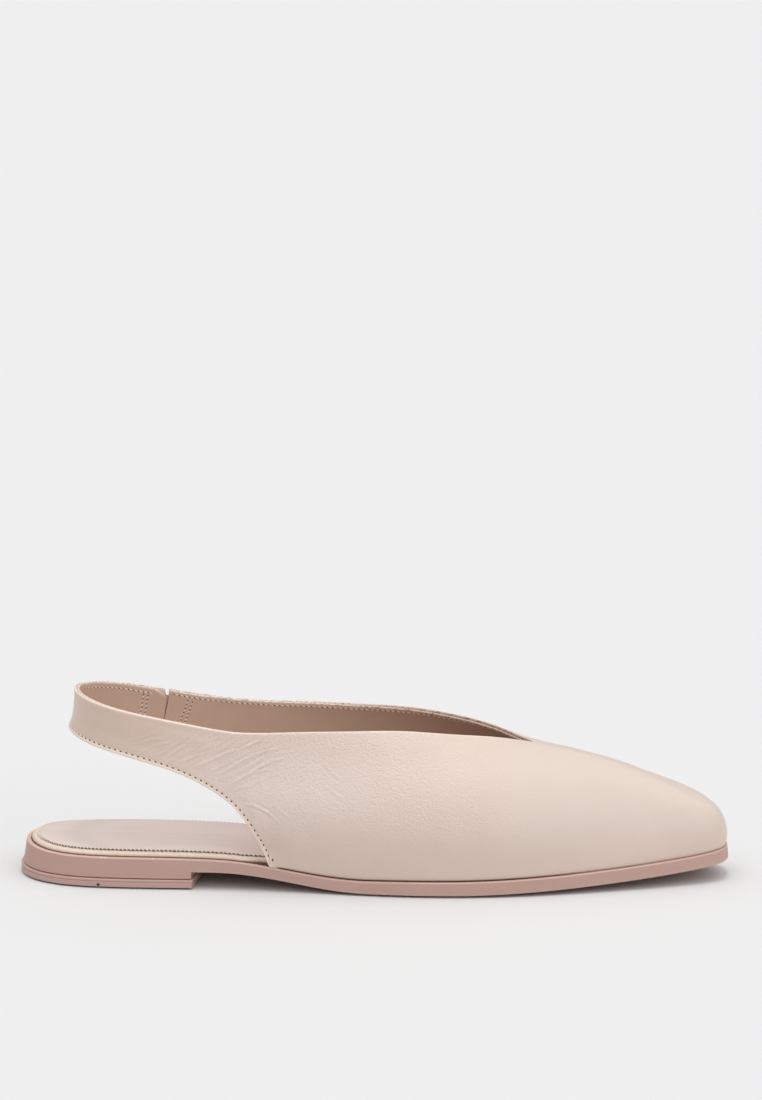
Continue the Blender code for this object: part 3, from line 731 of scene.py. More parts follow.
def stitch_tree():
    """Stitches and needle holes on points that know their direction and their outside."""
    made = bpy.data.node_groups.new("stitch_row", "GeometryNodeTree")
    sockets = {}
    for name, kind in (
        ("Points", "NodeSocketGeometry"),
        ("Length", "NodeSocketFloat"),
        ("Thread Radius", "NodeSocketFloat"),
        ("Rise", "NodeSocketFloat"),
        ("Dip", "NodeSocketFloat"),
        ("Hole Radius", "NodeSocketFloat"),
        ("Thread", "NodeSocketMaterial"),
        ("Hole", "NodeSocketMaterial"),
    ):
        socket = made.interface.new_socket(name, in_out="INPUT", socket_type=kind)
        sockets[name] = socket.identifier
    made.interface.new_socket("Stitches", in_out="OUTPUT", socket_type="NodeSocketGeometry")
    given = add_node(made, "NodeGroupInput").outputs
    lay, out, to_hole = (
        add_node(made, "GeometryNodeInputNamedAttribute", {"Name": name}, data_type="FLOAT_VECTOR")
        for name in ("lay", "out", "to_hole")
    )
    turn = add_node(made, "FunctionNodeAxesToRotation", {
        "Primary Axis": out.outputs["Attribute"], "Secondary Axis": lay.outputs["Attribute"],
    }, primary_axis="Z", secondary_axis="X")
    uneven = add_node(made, "FunctionNodeRandomValue", {
        "Min": (0.9, 0.85, 0.8), "Max": (1.06, 1.15, 1.2), "Seed": 7,
    }, data_type="FLOAT_VECTOR")
    half = add_node(made, "ShaderNodeMath", {0: given["Length"], 1: 0.5}, operation="MULTIPLY")
    minus = add_node(made, "ShaderNodeMath", {0: half.outputs[0], 1: -1.0}, operation="MULTIPLY")
    low = add_node(made, "ShaderNodeMath", {0: given["Dip"], 1: -1.0}, operation="MULTIPLY")
    peak = add_node(made, "ShaderNodeMath", {0: given["Rise"], 1: 2.0}, operation="MULTIPLY")
    start = add_node(made, "ShaderNodeCombineXYZ", {"X": minus.outputs[0], "Z": low.outputs[0]})
    middle = add_node(made, "ShaderNodeCombineXYZ", {"Z": peak.outputs[0]})
    end = add_node(made, "ShaderNodeCombineXYZ", {"X": half.outputs[0], "Z": low.outputs[0]})
    strand = add_node(made, "GeometryNodeCurveQuadraticBezier", {
        "Resolution": 6, "Start": start.outputs[0], "Middle": middle.outputs[0],
        "End": end.outputs[0],
    })
    section = add_node(made, "GeometryNodeCurvePrimitiveCircle", {
        "Resolution": 6, "Radius": given["Thread Radius"],
    })
    stitch = add_node(made, "GeometryNodeCurveToMesh", {
        "Curve": strand.outputs["Curve"], "Profile Curve": section.outputs["Curve"],
        "Fill Caps": True,
    })
    stitches = add_node(made, "GeometryNodeInstanceOnPoints", {
        "Points": given["Points"], "Instance": stitch.outputs["Mesh"],
        "Rotation": turn.outputs["Rotation"], "Scale": uneven.outputs["Value"],
    })
    sewn = add_node(made, "GeometryNodeSetMaterial", {
        "Geometry": stitches.outputs["Instances"], "Material": given["Thread"],
    })
    ball = add_node(made, "GeometryNodeMeshUVSphere", {
        "Segments": 8, "Rings": 5, "Radius": given["Hole Radius"],
    })
    pit = add_node(made, "GeometryNodeTransform", {
        "Geometry": ball.outputs["Mesh"], "Scale": (1.6, 0.95, 0.3),
    })
    beside = add_node(made, "GeometryNodeSetPosition", {
        "Geometry": given["Points"], "Offset": to_hole.outputs["Attribute"],
    })
    pits = add_node(made, "GeometryNodeInstanceOnPoints", {
        "Points": beside.outputs["Geometry"], "Instance": pit.outputs["Geometry"],
        "Rotation": turn.outputs["Rotation"],
    })
    punched = add_node(made, "GeometryNodeSetMaterial", {
        "Geometry": pits.outputs["Instances"], "Material": given["Hole"],
    })
    both = add_node(made, "GeometryNodeJoinGeometry")
    made.links.new(sewn.outputs["Geometry"], both.inputs[0])
    made.links.new(punched.outputs["Geometry"], both.inputs[0])
    real = add_node(made, "GeometryNodeRealizeInstances", {"Geometry": both.outputs[0]})
    smooth = add_node(made, "GeometryNodeSetShadeSmooth", {"Geometry": real.outputs["Geometry"]})
    add_node(made, "NodeGroupOutput", {0: smooth.outputs["Geometry"]})
    return made, sockets


stitch_group, stitch_sockets = stitch_tree()


def sew(name, points, holes, lay, out, sizes):
    """A row of stitches with their holes, made by the stitch tree and kept as a plain mesh."""
    mesh = bpy.data.meshes.new(name + "_points")
    mesh.from_pydata([tuple(p) for p in points], [], [])
    for label, vectors in (("lay", lay), ("out", out), ("to_hole", holes - points)):
        layer = mesh.attributes.new(label, "FLOAT_VECTOR", "POINT")
        layer.data.foreach_set("vector", np.asarray(vectors, np.float32).ravel())
    guide = bpy.data.objects.new(name + "_points", mesh)
    bpy.context.scene.collection.objects.link(guide)
    sewing = guide.modifiers.new("stitches", "NODES")
    sewing.node_group = stitch_group
    for label, value in sizes.items():
        sewing[stitch_sockets[label]] = value * MM
    sewing[stitch_sockets["Thread"]] = thread
    sewing[stitch_sockets["Hole"]] = hole_dark
    evaluated = guide.evaluated_get(bpy.context.evaluated_depsgraph_get())
    sewn = bpy.data.meshes.new_from_object(evaluated)
    sewn.name = name
    sewn.materials.pop(index=0)
    guide.modifiers.remove(sewing)
    bpy.data.objects.remove(guide, do_unlink=True)
    bpy.data.meshes.remove(mesh)
    return set_in_place(name, sewn)


def unit(vectors):
    """The vectors at length 1."""
    return vectors / np.maximum(np.linalg.norm(vectors, axis=-1, keepdims=True), 1e-9)


whip_knots = np.arange(0.0, PERIMETER, SOCK_PITCH)
whip_along = outline_at(whip_knots)[0]
whip_inset = footbed_inset(whip_along) + SOCK_INSET
whip_up = rim_up(whip_along) + FOOTBED_PROUD + GAP + SOCK_EDGE / 2
whip_points = place(*outline_at(whip_knots, whip_inset), whip_up)
inward = unit(place(*outline_at(whip_knots, whip_inset + 1.0), whip_up) - whip_points)
upward = np.array([0.0, 0.0, 1.0])
forward = unit(np.cross(upward, inward))
slant = math.radians(SOCK_STITCH_SLANT)
whip_lay = unit(forward * math.cos(slant) + inward * math.sin(slant) + upward * SOCK_STITCH_CLIMB)
whip_out = unit(upward - SOCK_STITCH_LEAN * inward)
whip_holes = whip_points + whip_lay * SOCK_STITCH_LENGTH * SOCK_HOLE_AFTER * MM
sew("sock_edge_stitches", whip_points, whip_holes, whip_lay, whip_out, {
    "Length": SOCK_STITCH_LENGTH,
    "Thread Radius": SOCK_THREAD,
    "Rise": SOCK_STITCH_RISE,
    "Dip": SOCK_STITCH_DIP,
    "Hole Radius": SOCK_HOLE,
})

# Outer leather of the upper: vamp, quarters and sling strap cut as one piece of soft grained
# leather, drawn over the last and glued down inside the rim. The strap's ends meet at a slit.

FORE_ROWS = table(
    "foot_along facing lean_lateral lean_medial foot_pull"
    " top_along up_lateral up_medial top_lateral top_medial rise top_pull",
    (262.3, 0.0, 15.0, 15.0, 0.43, 236.0, 36.7, 36.7, 0.0, 0.0, 21.0, 0.61),
    (259.0, 30.0, 15.0, 15.0, 0.43, 235.0, 37.1, 37.1, 0.0, 0.0, 18.0, 0.58),
    (250.5, 54.0, 12.0, 12.0, 0.42, 231.5, 38.5, 38.5, 0.0, 0.0, 12.5, 0.50),
    (238.5, 68.0, 9.0, 9.0, 0.41, 224.5, 41.1, 41.1, 0.0, 0.0, 8.0, 0.42),
    (223.0, 78.0, 7.0, 7.0, 0.41, 214.5, 44.3, 44.3, 0.0, 0.0, 4.0, 0.38),
    (207.0, 85.0, 6.0, 6.0, 0.42, 203.0, 47.1, 47.1, 0.0, 0.0, 1.5, 0.36),
    (191.0, 90.0, 5.0, 5.0, 0.42, 190.0, 49.9, 49.9, 0.0, 0.0, 0.0, 0.36),
    (175.5, 90.0, 4.0, 5.0, 0.41, 175.5, 53.5, 54.0, 7.4, 9.6, 15.0, 0.35),
    (159.0, 90.0, 3.0, 6.0, 0.39, 159.0, 56.3, 56.6, 15.4, 16.4, 33.0, 0.34),
    (142.0, 90.0, 3.0, 8.0, 0.37, 142.0, 58.7, 57.8, 21.4, 21.4, 49.0, 0.34),
    (125.0, 90.0, 3.0, 11.0, 0.36, 125.0, 59.4, 57.9, 25.4, 24.4, 62.0, 0.34),
    (108.0, 90.0, 4.0, 13.0, 0.36, 108.5, 59.5, 58.2, 27.4, 25.6, 72.0, 0.34),
    (93.4, 90.0, 5.0, 12.0, 0.36, 94.5, 59.2, 58.4, 28.3, 26.0, 78.0, 0.34),
)
REAR_ROWS = table(
    "edge_along edge_up edge_lateral edge_medial facing lean_lateral lean_medial foot_pull"
    " top_along up_lateral up_medial top_lateral top_medial rise top_pull",
    (89.1, 19.2, 28.8, 25.2, 90.0, 5.5, 10.0, 0.34, 90.2, 59.1, 58.5, 28.4, 26.1, 80.0, 0.34),
    (82.2, 29.8, 29.4, 26.6, 90.5, 3.5, 7.0, 0.34, 84.2, 59.1, 58.8, 28.4, 26.1, 82.0, 0.34),
    (72.5, 38.3, 29.5, 27.0, 92.0, 0.5, 3.0, 0.34, 76.0, 59.8, 59.4, 28.2, 26.0, 84.0, 0.34),
    (59.0, 45.0, 28.7, 26.4, 95.0, -5.0, -4.0, 0.35, 62.0, 62.2, 61.4, 27.6, 25.4, 86.0, 0.34),
    (42.5, 49.8, 26.6, 24.0, 106.0, -11.0, -11.0, 0.36, 44.5, 65.4, 64.8, 26.2, 22.8, 88.0, 0.34),
    (29.0, 53.0, 21.8, 18.8, 128.0, -16.0, -16.0, 0.36, 31.8, 67.8, 67.4, 22.2, 17.6, 89.0, 0.34),
    (20.7, 54.9, 12.0, 10.4, 155.0, -20.0, -20.0, 0.36, 23.3, 69.1, 69.0, 12.2, 9.6, 90.0, 0.34),
    (18.0, 55.6, 0.0, 0.0, 180.0, -22.0, -22.0, 0.36, 20.2, 69.5, 69.5, 0.0, 0.0, 90.0, 0.34),
)
THROAT_ROW = 6
CORNER_ROW = 12
BACK_ROW = 20
LOOP_ROWS = 2 * BACK_ROW
TOE_ROW = BACK_ROW
WALL = 2.0
LEATHER_SHARE = 0.54
LINING = 0.88
FOOT_WALL_SHARE = 0.12
TAB_WALL = 2.8
SLIT_ROW = 16.5
SLIT_FOOT = 0.14
SLIT_WEDGE = 0.75
SLIT_TOP = 1.5
SLIT_REAR = 1.4
SLIT_POWER = 14
ROW_PITCH = 16.0
POCKET_ROWS = 0.62
POCKET_FADE = 0.6
TUCK_HEIGHT = 2.4
CORNER_ROUND = 0.19
CORNER_LAP = (11.4, 11.95)
CORNER_GAP_SHADE = (11.9, 11.7)
CORNER_OUT = 1.2
CORNER_HEIGHT = 9.0
CUT_ROUND = 0.32
LAP_OUT = 1.15
LAP_HEIGHT = (0.05, 0.5)
BELLY_OUT = 2.1
BELLY_HEIGHT = (1.0, 17.0, 46.0)
BELLY_ROWS = (13.0, 15.0)
BELLY_ALONG = (235.0, 185.0)
LEATHER_STEPS = 96
LEATHER_BACK_STEPS = 10
TOP_TRIM = (0.3, 0.6)
FOOT_TRIM = 0.5
EASE_ROWS = 1.1
EASE_STEPS = 9
EASE_FADE = 1.6
EASE_TOP = (1.0, 0.8)
EASE_FOOT = (0.0, 0.3)
CORNER_CLEAR = 0.06
FOOT_BAND = 0.06
FAR = 99.0

# Where the strip is cut into columns: from and to row, and columns between them.
LEATHER_SPANS = table(
    "first last columns",
    (-3.5, 0.0, 40),
    (0.0, 2.6, 52),
    (2.6, 8.0, 260),
    (8.0, 10.6, 110),
    (10.6, 14.0, 40),
    (14.0, 20.0, 80),
    (26.0, 32.0, 70),
    (32.0, 36.5, 68),
)


def round_loop(lateral, medial, sign=1.0):
    """Two columns joined round the loop: back, lateral side, toe, medial side, back."""
    outer = FORE_ROWS[lateral] + REAR_ROWS[lateral]
    inner = FORE_ROWS[medial] + REAR_ROWS[medial]
    return [sign * out for out in outer[::-1]] + inner[1:]


def loop_curve(lateral, medial, sign=1.0, turn=0.0):
    """The same as one smooth curve, as a function of the row."""
    values = round_loop(lateral, medial, sign)[:-1]
    return closed_spline(np.arange(LOOP_ROWS), values, LOOP_ROWS, turn)


facing = loop_curve("facing", "facing", sign=-1.0, turn=360.0)
lean = loop_curve("lean_lateral", "lean_medial")
foot_pull = loop_curve("foot_pull", "foot_pull")
top_pull = loop_curve("top_pull", "top_pull")
rise = loop_curve("rise", "rise")

feather_rows = np.arange(TOE_ROW - CORNER_ROW, TOE_ROW + CORNER_ROW + 1)
feather_knots = [knot_at(a, False) for a in FORE_ROWS["foot_along"][:0:-1]]
feather_knots += [TOE_KNOT]
feather_knots += [knot_at(a, True) for a in FORE_ROWS["foot_along"][1:]]
feather_knot = spline(feather_rows, feather_knots)


def feather_point(row):
    """Foot of the upper where it is glued down inside the rim."""
    knot = feather_knot(row)
    inset = flare(outline_at(knot)[0]) + RIM_WIDTH + FEATHER_GAP
    along, across = outline_at(knot, inset)
    return np.stack([along, across, rim_up(along) - RECESS_DEPTH + GAP], axis=-1)


edge_rows = np.arange(TOE_ROW + CORNER_ROW, TOE_ROW + LOOP_ROWS - CORNER_ROW + 1)
edge_points = np.array(
    [feather_point(TOE_ROW + CORNER_ROW)]
    + list(zip(REAR_ROWS["edge_along"], REAR_ROWS["edge_medial"], REAR_ROWS["edge_up"]))
    + list(zip(
        REAR_ROWS["edge_along"][-2::-1],
        [-out for out in REAR_ROWS["edge_lateral"][-2::-1]],
        REAR_ROWS["edge_up"][-2::-1],
    ))
    + [feather_point(TOE_ROW - CORNER_ROW)]
)
edge_curves = [spline(edge_rows, edge_points[:, axis]) for axis in range(3)]
top_columns = [
    round_loop("top_along", "top_along"),
    round_loop("top_lateral", "top_medial", sign=-1.0),
    round_loop("up_lateral", "up_medial"),
]
ridge_rows = np.arange(TOE_ROW - THROAT_ROW, TOE_ROW + THROAT_ROW + 1)
ridge_curves = [spline(ridge_rows, [column[r] for r in ridge_rows]) for column in top_columns]
line_rows = np.arange(TOE_ROW + THROAT_ROW, TOE_ROW + LOOP_ROWS - THROAT_ROW + 1)
line_curves = [
    spline(line_rows, [column[r % LOOP_ROWS] for r in line_rows]) for column in top_columns
]


def sharp_foot(row):
    """Lower edge of the upper at a row of the loop."""
    turned = np.mod(row - (TOE_ROW - CORNER_ROW), LOOP_ROWS) + TOE_ROW - CORNER_ROW
    on_sole = turned <= TOE_ROW + CORNER_ROW
    edge = np.stack([curve(turned) for curve in edge_curves], axis=-1)
    return np.where(on_sole[..., None], feather_point(turned), edge)


def foot_point(row):
    """The same edge with its two rear corners trimmed round."""
    offsets = np.linspace(-CORNER_ROUND, CORNER_ROUND, 9)
    return sum(sharp_foot(row + offset) for offset in offsets) / len(offsets)


def top_point(row):
    """Upper edge of the upper at a row of the loop."""
    turned = np.mod(row - (TOE_ROW - THROAT_ROW), LOOP_ROWS) + TOE_ROW - THROAT_ROW
    on_ridge = turned <= TOE_ROW + THROAT_ROW
    ridge = np.stack([curve(turned) for curve in ridge_curves], axis=-1)
    line = np.stack([curve(turned) for curve in line_curves], axis=-1)
    return np.where(on_ridge[..., None], ridge, line)


def rows_from(row, other):
    """Distance round the loop between two rows."""
    half = LOOP_ROWS / 2
    return np.abs(np.mod(row - other + half, LOOP_ROWS) - half)


def lasted(row, share):
    """The upper as drawn over the last: row of the loop, share of the way from foot to top."""
    foot = foot_point(row)
    top = top_point(row)
    chord = np.linalg.norm(top - foot, axis=-1)
    around = np.radians(facing(row))
    outward = np.stack([np.cos(around), np.sin(around), np.zeros_like(around)], axis=-1)
    tilt = np.radians(lean(row))[..., None]
    climb = np.radians(rise(row))[..., None]
    foot_reach = (foot_pull(row) * chord)[..., None]
    top_reach = (top_pull(row) * chord)[..., None]
    low = foot + foot_reach * (outward * np.sin(tilt) + upward * np.cos(tilt))
    high = top + top_reach * (outward * np.cos(climb) - upward * np.sin(climb))
    t = share[..., None]
    s = 1 - t
    point = s ** 3 * foot + 3 * s * s * t * low + 3 * s * t * t * high + t ** 3 * top
    # The leather turns in above the rim, and its rear corners lie on the rim.
    from_toe = rows_from(row, TOE_ROW)
    above_rim = point[..., 2] - rim_up(np.clip(point[..., 0], 0.0, LENGTH))
    corner = smooth_step(*CORNER_LAP, from_toe)
    tuck = TUCK * (1 - smooth_step(-RECESS_DEPTH, TUCK_HEIGHT, above_rim)) * (1 - corner)
    spread = CORNER_OUT * corner * (1 - smooth_step(0.0, CORNER_HEIGHT, above_rim))
    raised = corner * np.maximum(CORNER_CLEAR - above_rim, 0.0)
    return point + outward * (spread - tuck)[..., None] + upward * raised[..., None]


def skin(row, share):
    """Outer face of the upper: the lasted form with the fold below the throat eased out."""
    row, share = np.broadcast_arrays(np.asarray(row, float), np.asarray(share, float))
    point = lasted(row, share)
    ease = smooth_step(EASE_FADE, 0.0, np.abs(rows_from(row, TOE_ROW) - THROAT_ROW))
    ease = ease * smooth_step(*EASE_TOP, share) * smooth_step(*EASE_FOOT, share)
    near = ease > 0.0
    if near.any():
        eased = [
            lasted(row[near] + EASE_ROWS * turn * ease[near], share[near])
            for turn in np.linspace(-1.0, 1.0, EASE_STEPS)
        ]
        weights = np.hanning(EASE_STEPS + 2)[1:-1]
        point[near] = np.average(eased, axis=0, weights=weights)
    return point


def skin_frame(row, share):
    """Outward and upward directions of that face."""
    step = 0.004
    share = np.clip(share, step, 1 - 3 * step)
    along_row = skin(row + step, share) - skin(row - step, share)
    along_share = skin(row, share + step) - skin(row, share - step)
    return unit(np.cross(along_row, along_share)), along_share / (2 * step)


def skiving(row, share):
    """Change of the wall where its foot is thinned to lie inside the rim."""
    on_sole = rows_from(row, TOE_ROW) <= CORNER_ROW
    return (FOOT_WALL - WALL) * ((1 - smooth_step(0.0, FOOT_WALL_SHARE, share)) * on_sole)


def wall_at(row, share):
    """Leather and lining together: skived at the sole, thicker where they hold the elastic."""
    off_tab = smooth_step(
        POCKET_ROWS, POCKET_ROWS + POCKET_FADE, rows_from(row, TOE_ROW + SLIT_ROW)
    )
    return TAB_WALL + (WALL - TAB_WALL) * off_tab + skiving(row, share)


def leather_depth(row, share):
    """The outer leather's part of the wall."""
    return LEATHER_SHARE * (WALL + skiving(row, share))


# Creases fan out from the quarter's rear edge, deep, plain and faint. Each is given to half a
# millimetre: it runs from one point to another, and its middle is bowed up by so much.
CREASE_ENDS = "from_along from_up to_along to_up bow"
DEEP_CREASES = table(
    CREASE_ENDS,
    (66, 46.5, 80, 53, 0),
    (75, 44, 92, 54.5, 0),
    (77, 38.5, 98, 50.5, 1),
    (84, 33.5, 98, 26, 2),
)
PLAIN_CREASES = table(
    CREASE_ENDS,
    (44.5, 54, 54.5, 56.5, 1),
    (50.5, 53, 57, 55.5, 0.5),
    (56, 50, 63, 55, 0),
    (61, 48.5, 69, 52.5, -0.5),
    (63.5, 51.5, 68, 55, 0),
    (68, 52.5, 73, 55, 0),
    (83, 53.5, 92, 57.5, 0),
    (84, 49, 98, 54, 1),
    (84, 43, 94, 46.5, 0.5),
    (95.5, 33.5, 102, 28.5, -0.5),
)
FAINT_CREASES = table(
    CREASE_ENDS,
    (40, 55, 46, 57, 0),
    (44, 56, 57, 62.5, -1),
    (52, 50.5, 57, 52.5, 0),
    (66, 50, 72, 53, 0),
    (73, 45.5, 78, 48, 0),
    (76, 42, 82, 46, 0),
    (77, 51, 83, 53.5, 0.5),
    (80, 38, 87, 40, 0.5),
    (81, 36, 86, 35.5, 0.5),
    (83, 41, 89, 44, 0.5),
    (85, 46.5, 92, 51, 0),
    (91, 48.5, 99, 50, 0.5),
    (91.5, 43, 97.5, 45, 0),
    (94, 51.5, 102, 53, 0),
    (111, 51, 121, 42, -0.5),
    (113, 41.5, 121, 36, -0.5),
)
CREASES = [
    (height, width, ends)
    for creases, height, width in (
        (DEEP_CREASES, 0.32, 0.65), (PLAIN_CREASES, 0.23, 0.6), (FAINT_CREASES, 0.15, 0.55),
    )
    for ends in zip(*creases.values())
]
CREASED_SIDES = table(
    "side shift strength softer",
    (-1.0, 0.0, 1.0, 0.78),
    (1.0, 2.5, 0.7, 2.2),
)
CREASED_ALONG = 125.0
CREASED_ACROSS = 4.0
CREASE_HALF = 12.0
CREASE_STEPS = 90
TROUGH = 0.55
TROUGH_AWAY = 1.8
SWELL_MM = 0.10
SEAM_PULL = 0.2
SEAM_WIDTH = 0.5
SEAM_PUFF = 0.12
STITCH_FROM_EDGE = 1.3


def crease_relief(points):
    """How far the leather folds up in its creases and sinks beside them, in millimetres."""
    along, up = points[..., 0], points[..., 2]
    relief = np.zeros(along.shape)
    t = np.linspace(0.0, 1.0, CREASE_STEPS)
    for side, shift, strength, softer in zip(*CREASED_SIDES.values()):
        on_side = (points[..., 1] * side > CREASED_ACROSS) & (along < CREASED_ALONG)
        for height, width, (from_along, from_up, to_along, to_up, bow) in CREASES:
            width *= softer
            path_along = from_along + t * (to_along - from_along)
            path_up = from_up + t * (to_up - from_up) + 4 * bow * t * (1 - t)
            reach = 4 * width
            from_middle = np.abs(along - shift - (from_along + to_along) / 2)
            near = on_side & (from_middle < CREASE_HALF + reach)
            near &= (up > min(path_up) - reach) & (up < max(path_up) + reach)
            if not near.any():
                continue
            distance = np.hypot(
                along[near][:, None] - shift - path_along, up[near][:, None] - path_up
            )
            closest = distance.argmin(axis=1)
            away = distance[np.arange(len(closest)), closest]
            taper = np.sin(math.pi * np.clip(t[closest], 0.03, 0.97)) ** 0.7
            ridge = np.exp(-(away / width) ** 2)
            trough = np.exp(-((away - TROUGH_AWAY * width) / width) ** 2)
            relief[near] += strength * height * taper * (ridge - TROUGH * trough)
    return relief


def swell_relief(row, share):
    """Slow unevenness of a soft hide, placed by a few waves of different length."""
    waves = np.sin(1.7 * row + 5.0 * share) * np.sin(2.3 * row - 9.0 * share + 1.0)
    waves += 0.6 * np.sin(4.1 * row + 13.0 * share + 2.0) * np.sin(7.0 * share - 2.9 * row)
    return SWELL_MM * waves * smooth_step(0.0, 0.15, share) * smooth_step(1.0, 0.85, share)


def strip_columns(spans):
    """Rows at which the strip is cut, from the slit round the shoe and back to the slit."""
    *lateral, (throat, toe, vamp_columns), quarter, strap = zip(*spans.values())
    lateral = [np.linspace(first, last, count + 1)[:-1] for first, last, count in lateral]
    crowded = 1 - (1 - np.linspace(0.0, 1.0, vamp_columns + 1)[:-1]) ** CROWDING
    vamp = throat + (toe - throat) * crowded
    medial = [
        2 * toe - np.concatenate([[toe], vamp[:0:-1]]),
        np.linspace(quarter[0], quarter[1], quarter[2] + 1)[:-1],
        np.linspace(strap[0], strap[1], strap[2] + 1),
    ]
    rows = np.concatenate(lateral + [vamp] + medial)
    first = sum(len(part) for part in lateral)
    return rows, first, first + 2 * len(vamp)


def slit_rows(columns, share):
    """Rows of the points of each column, drawn back at the strap's ends to leave the slit."""
    wide = SLIT_FOOT + (SLIT_WEDGE - SLIT_FOOT) * smooth_step(0.3, 0.85, share)
    half = (wide + (SLIT_TOP - SLIT_WEDGE) * share ** SLIT_POWER) / 2 / ROW_PITCH
    start = np.clip(1 - (columns - columns[0]) / POCKET_ROWS, 0.0, 1.0)[:, None]
    end = np.clip(1 - (columns[-1] - columns) / POCKET_ROWS, 0.0, 1.0)[:, None]
    return columns[:, None] + SLIT_REAR * half * start - (2 - SLIT_REAR) * half * end


def squareness(edge, climb):
    """How squarely the columns cross an edge: 1 at right angles, less on a slant."""
    return np.linalg.norm(np.cross(unit(np.gradient(edge, axis=0)), unit(climb)), axis=-1)


def upper_shell(columns, ridge, outer_steps, inner_steps, outer_depth, inner_depth, relief, cut):
    """Closed sheet between two depths under the skin, with rounded cut edges.

    Gives the points, faces, a flag for faces on a cut edge, and the row, share and distances
    from the lower and upper edge of each point.
    """
    first, last = ridge
    on_ridge = np.zeros(len(columns), bool)
    on_ridge[first:last + 1] = True
    from_throat = np.minimum(
        rows_from(columns, TOE_ROW - THROAT_ROW), rows_from(columns, TOE_ROW + THROAT_ROW)
    )
    round_top = np.where(on_ridge, 0.0, CUT_ROUND * smooth_step(0.0, 0.5, from_throat))
    round_foot = np.full(len(columns), CUT_ROUND)
    top_rows = slit_rows(columns, np.ones((1, 1)))[:, 0]
    foot_rows = slit_rows(columns, np.zeros((1, 1)))[:, 0]
    foot_share, top_share = cut(columns)
    top_out, top_climb = skin_frame(top_rows, top_share)
    foot_out, foot_climb = skin_frame(foot_rows, foot_share)
    top_length = np.linalg.norm(top_climb, axis=-1)
    foot_length = np.linalg.norm(foot_climb, axis=-1)
    foot_square = squareness(skin(foot_rows, foot_share), foot_climb)
    top_square = squareness(skin(top_rows, top_share), top_climb)
    low = foot_share + round_foot / foot_length
    high = top_share - round_top / top_length

    points = []
    info = []
    faces = []
    cut_faces = []

    def face_grid(steps, depth_at, with_relief):
        """Points of one face, crowded at the foot, as a grid of their numbers."""
        crowded = steps // 8
        spread = np.concatenate([
            np.linspace(0.0, FOOT_BAND, crowded + 1)[:-1],
            np.linspace(FOOT_BAND, 1.0, steps + 1 - crowded),
        ])
        share = low[:, None] + (high - low)[:, None] * spread
        row = slit_rows(columns, share)
        out, climb = skin_frame(row, share)
        position = skin(row, share)
        length = np.linalg.norm(climb, axis=-1)
        from_foot = (share - foot_share[:, None]) * length * foot_square[:, None]
        from_top = (top_share[:, None] - share) * length * top_square[:, None]
        from_top = np.where(on_ridge[:, None], FAR, from_top)
        lift = -depth_at(row, share)
        if with_relief:
            lift = lift + relief(row, share, position, from_foot)
        base = sum(len(part) for part in points)
        points.append((position + out * lift[..., None]).reshape(-1, 3))
        info.append(np.stack([row, share, from_foot, from_top], axis=-1).reshape(-1, 4))
        index = base + np.arange(len(columns) * (steps + 1)).reshape(len(columns), steps + 1)
        index[first:last + 1, -1] = np.minimum(
            index[first:last + 1, -1], index[first:last + 1, -1][::-1]
        )
        return index

    outer = face_grid(outer_steps, outer_depth, True)
    inner = face_grid(inner_steps, inner_depth, False)
    for grid in (outer, inner):
        for i in range(len(columns) - 1):
            for j in range(grid.shape[1] - 1):
                corners = (grid[i, j], grid[i + 1, j], grid[i + 1, j + 1], grid[i, j + 1])
                faces.append(tuple(dict.fromkeys(int(c) for c in corners)))
                cut_faces.append(0)

    def edge_strip(share, rows, out, climb, rounding, start, end, columns_used):
        """Rounded outer corner, cut face and rounded inner corner along one edge."""
        thick = inner_depth(rows, share) - outer_depth(rows, share)
        begin = outer_depth(rows, share)
        edge = skin(rows, share)
        climb = unit(climb)
        sign = 1.0 if share[0] > 0.5 else -1.0
        profile = []
        for sine, cosine in quarter_turn(4)[1:]:
            profile.append((rounding * (sine - 1), rounding * (1 - cosine)))
        for part in (0.35, 0.65):
            profile.append((np.zeros(len(rounding)), rounding + (thick - 2 * rounding) * part))
        for sine, cosine in quarter_turn(4)[:-1]:
            profile.append((rounding * (cosine - 1), thick - rounding * (1 - sine)))
        base = sum(len(part) for part in points)
        strip = [
            edge + climb * (sign * ahead)[:, None] - out * (begin + depth)[:, None]
            for ahead, depth in profile
        ]
        points.append(np.stack(strip, axis=1).reshape(-1, 3))
        from_foot = np.full(len(rows), FAR if sign > 0 else 0.0)
        marks = np.stack([rows, share, from_foot, FAR - from_foot], axis=-1)
        info.append(np.repeat(marks, len(profile), axis=0))
        index = base + np.arange(len(rows) * len(profile)).reshape(len(rows), len(profile))
        index[last] = index[first] if sign > 0 else index[last]
        loop = np.concatenate([start[:, None], index, end[:, None]], axis=1)
        for i in columns_used:
            for k in range(loop.shape[1] - 1):
                corners = (loop[i, k], loop[i + 1, k], loop[i + 1, k + 1], loop[i, k + 1])
                corners = tuple(dict.fromkeys(int(c) for c in corners))
                if len(corners) > 2:
                    faces.append(corners)
                    cut_faces.append(1 if k > 2 else 0)
        return loop

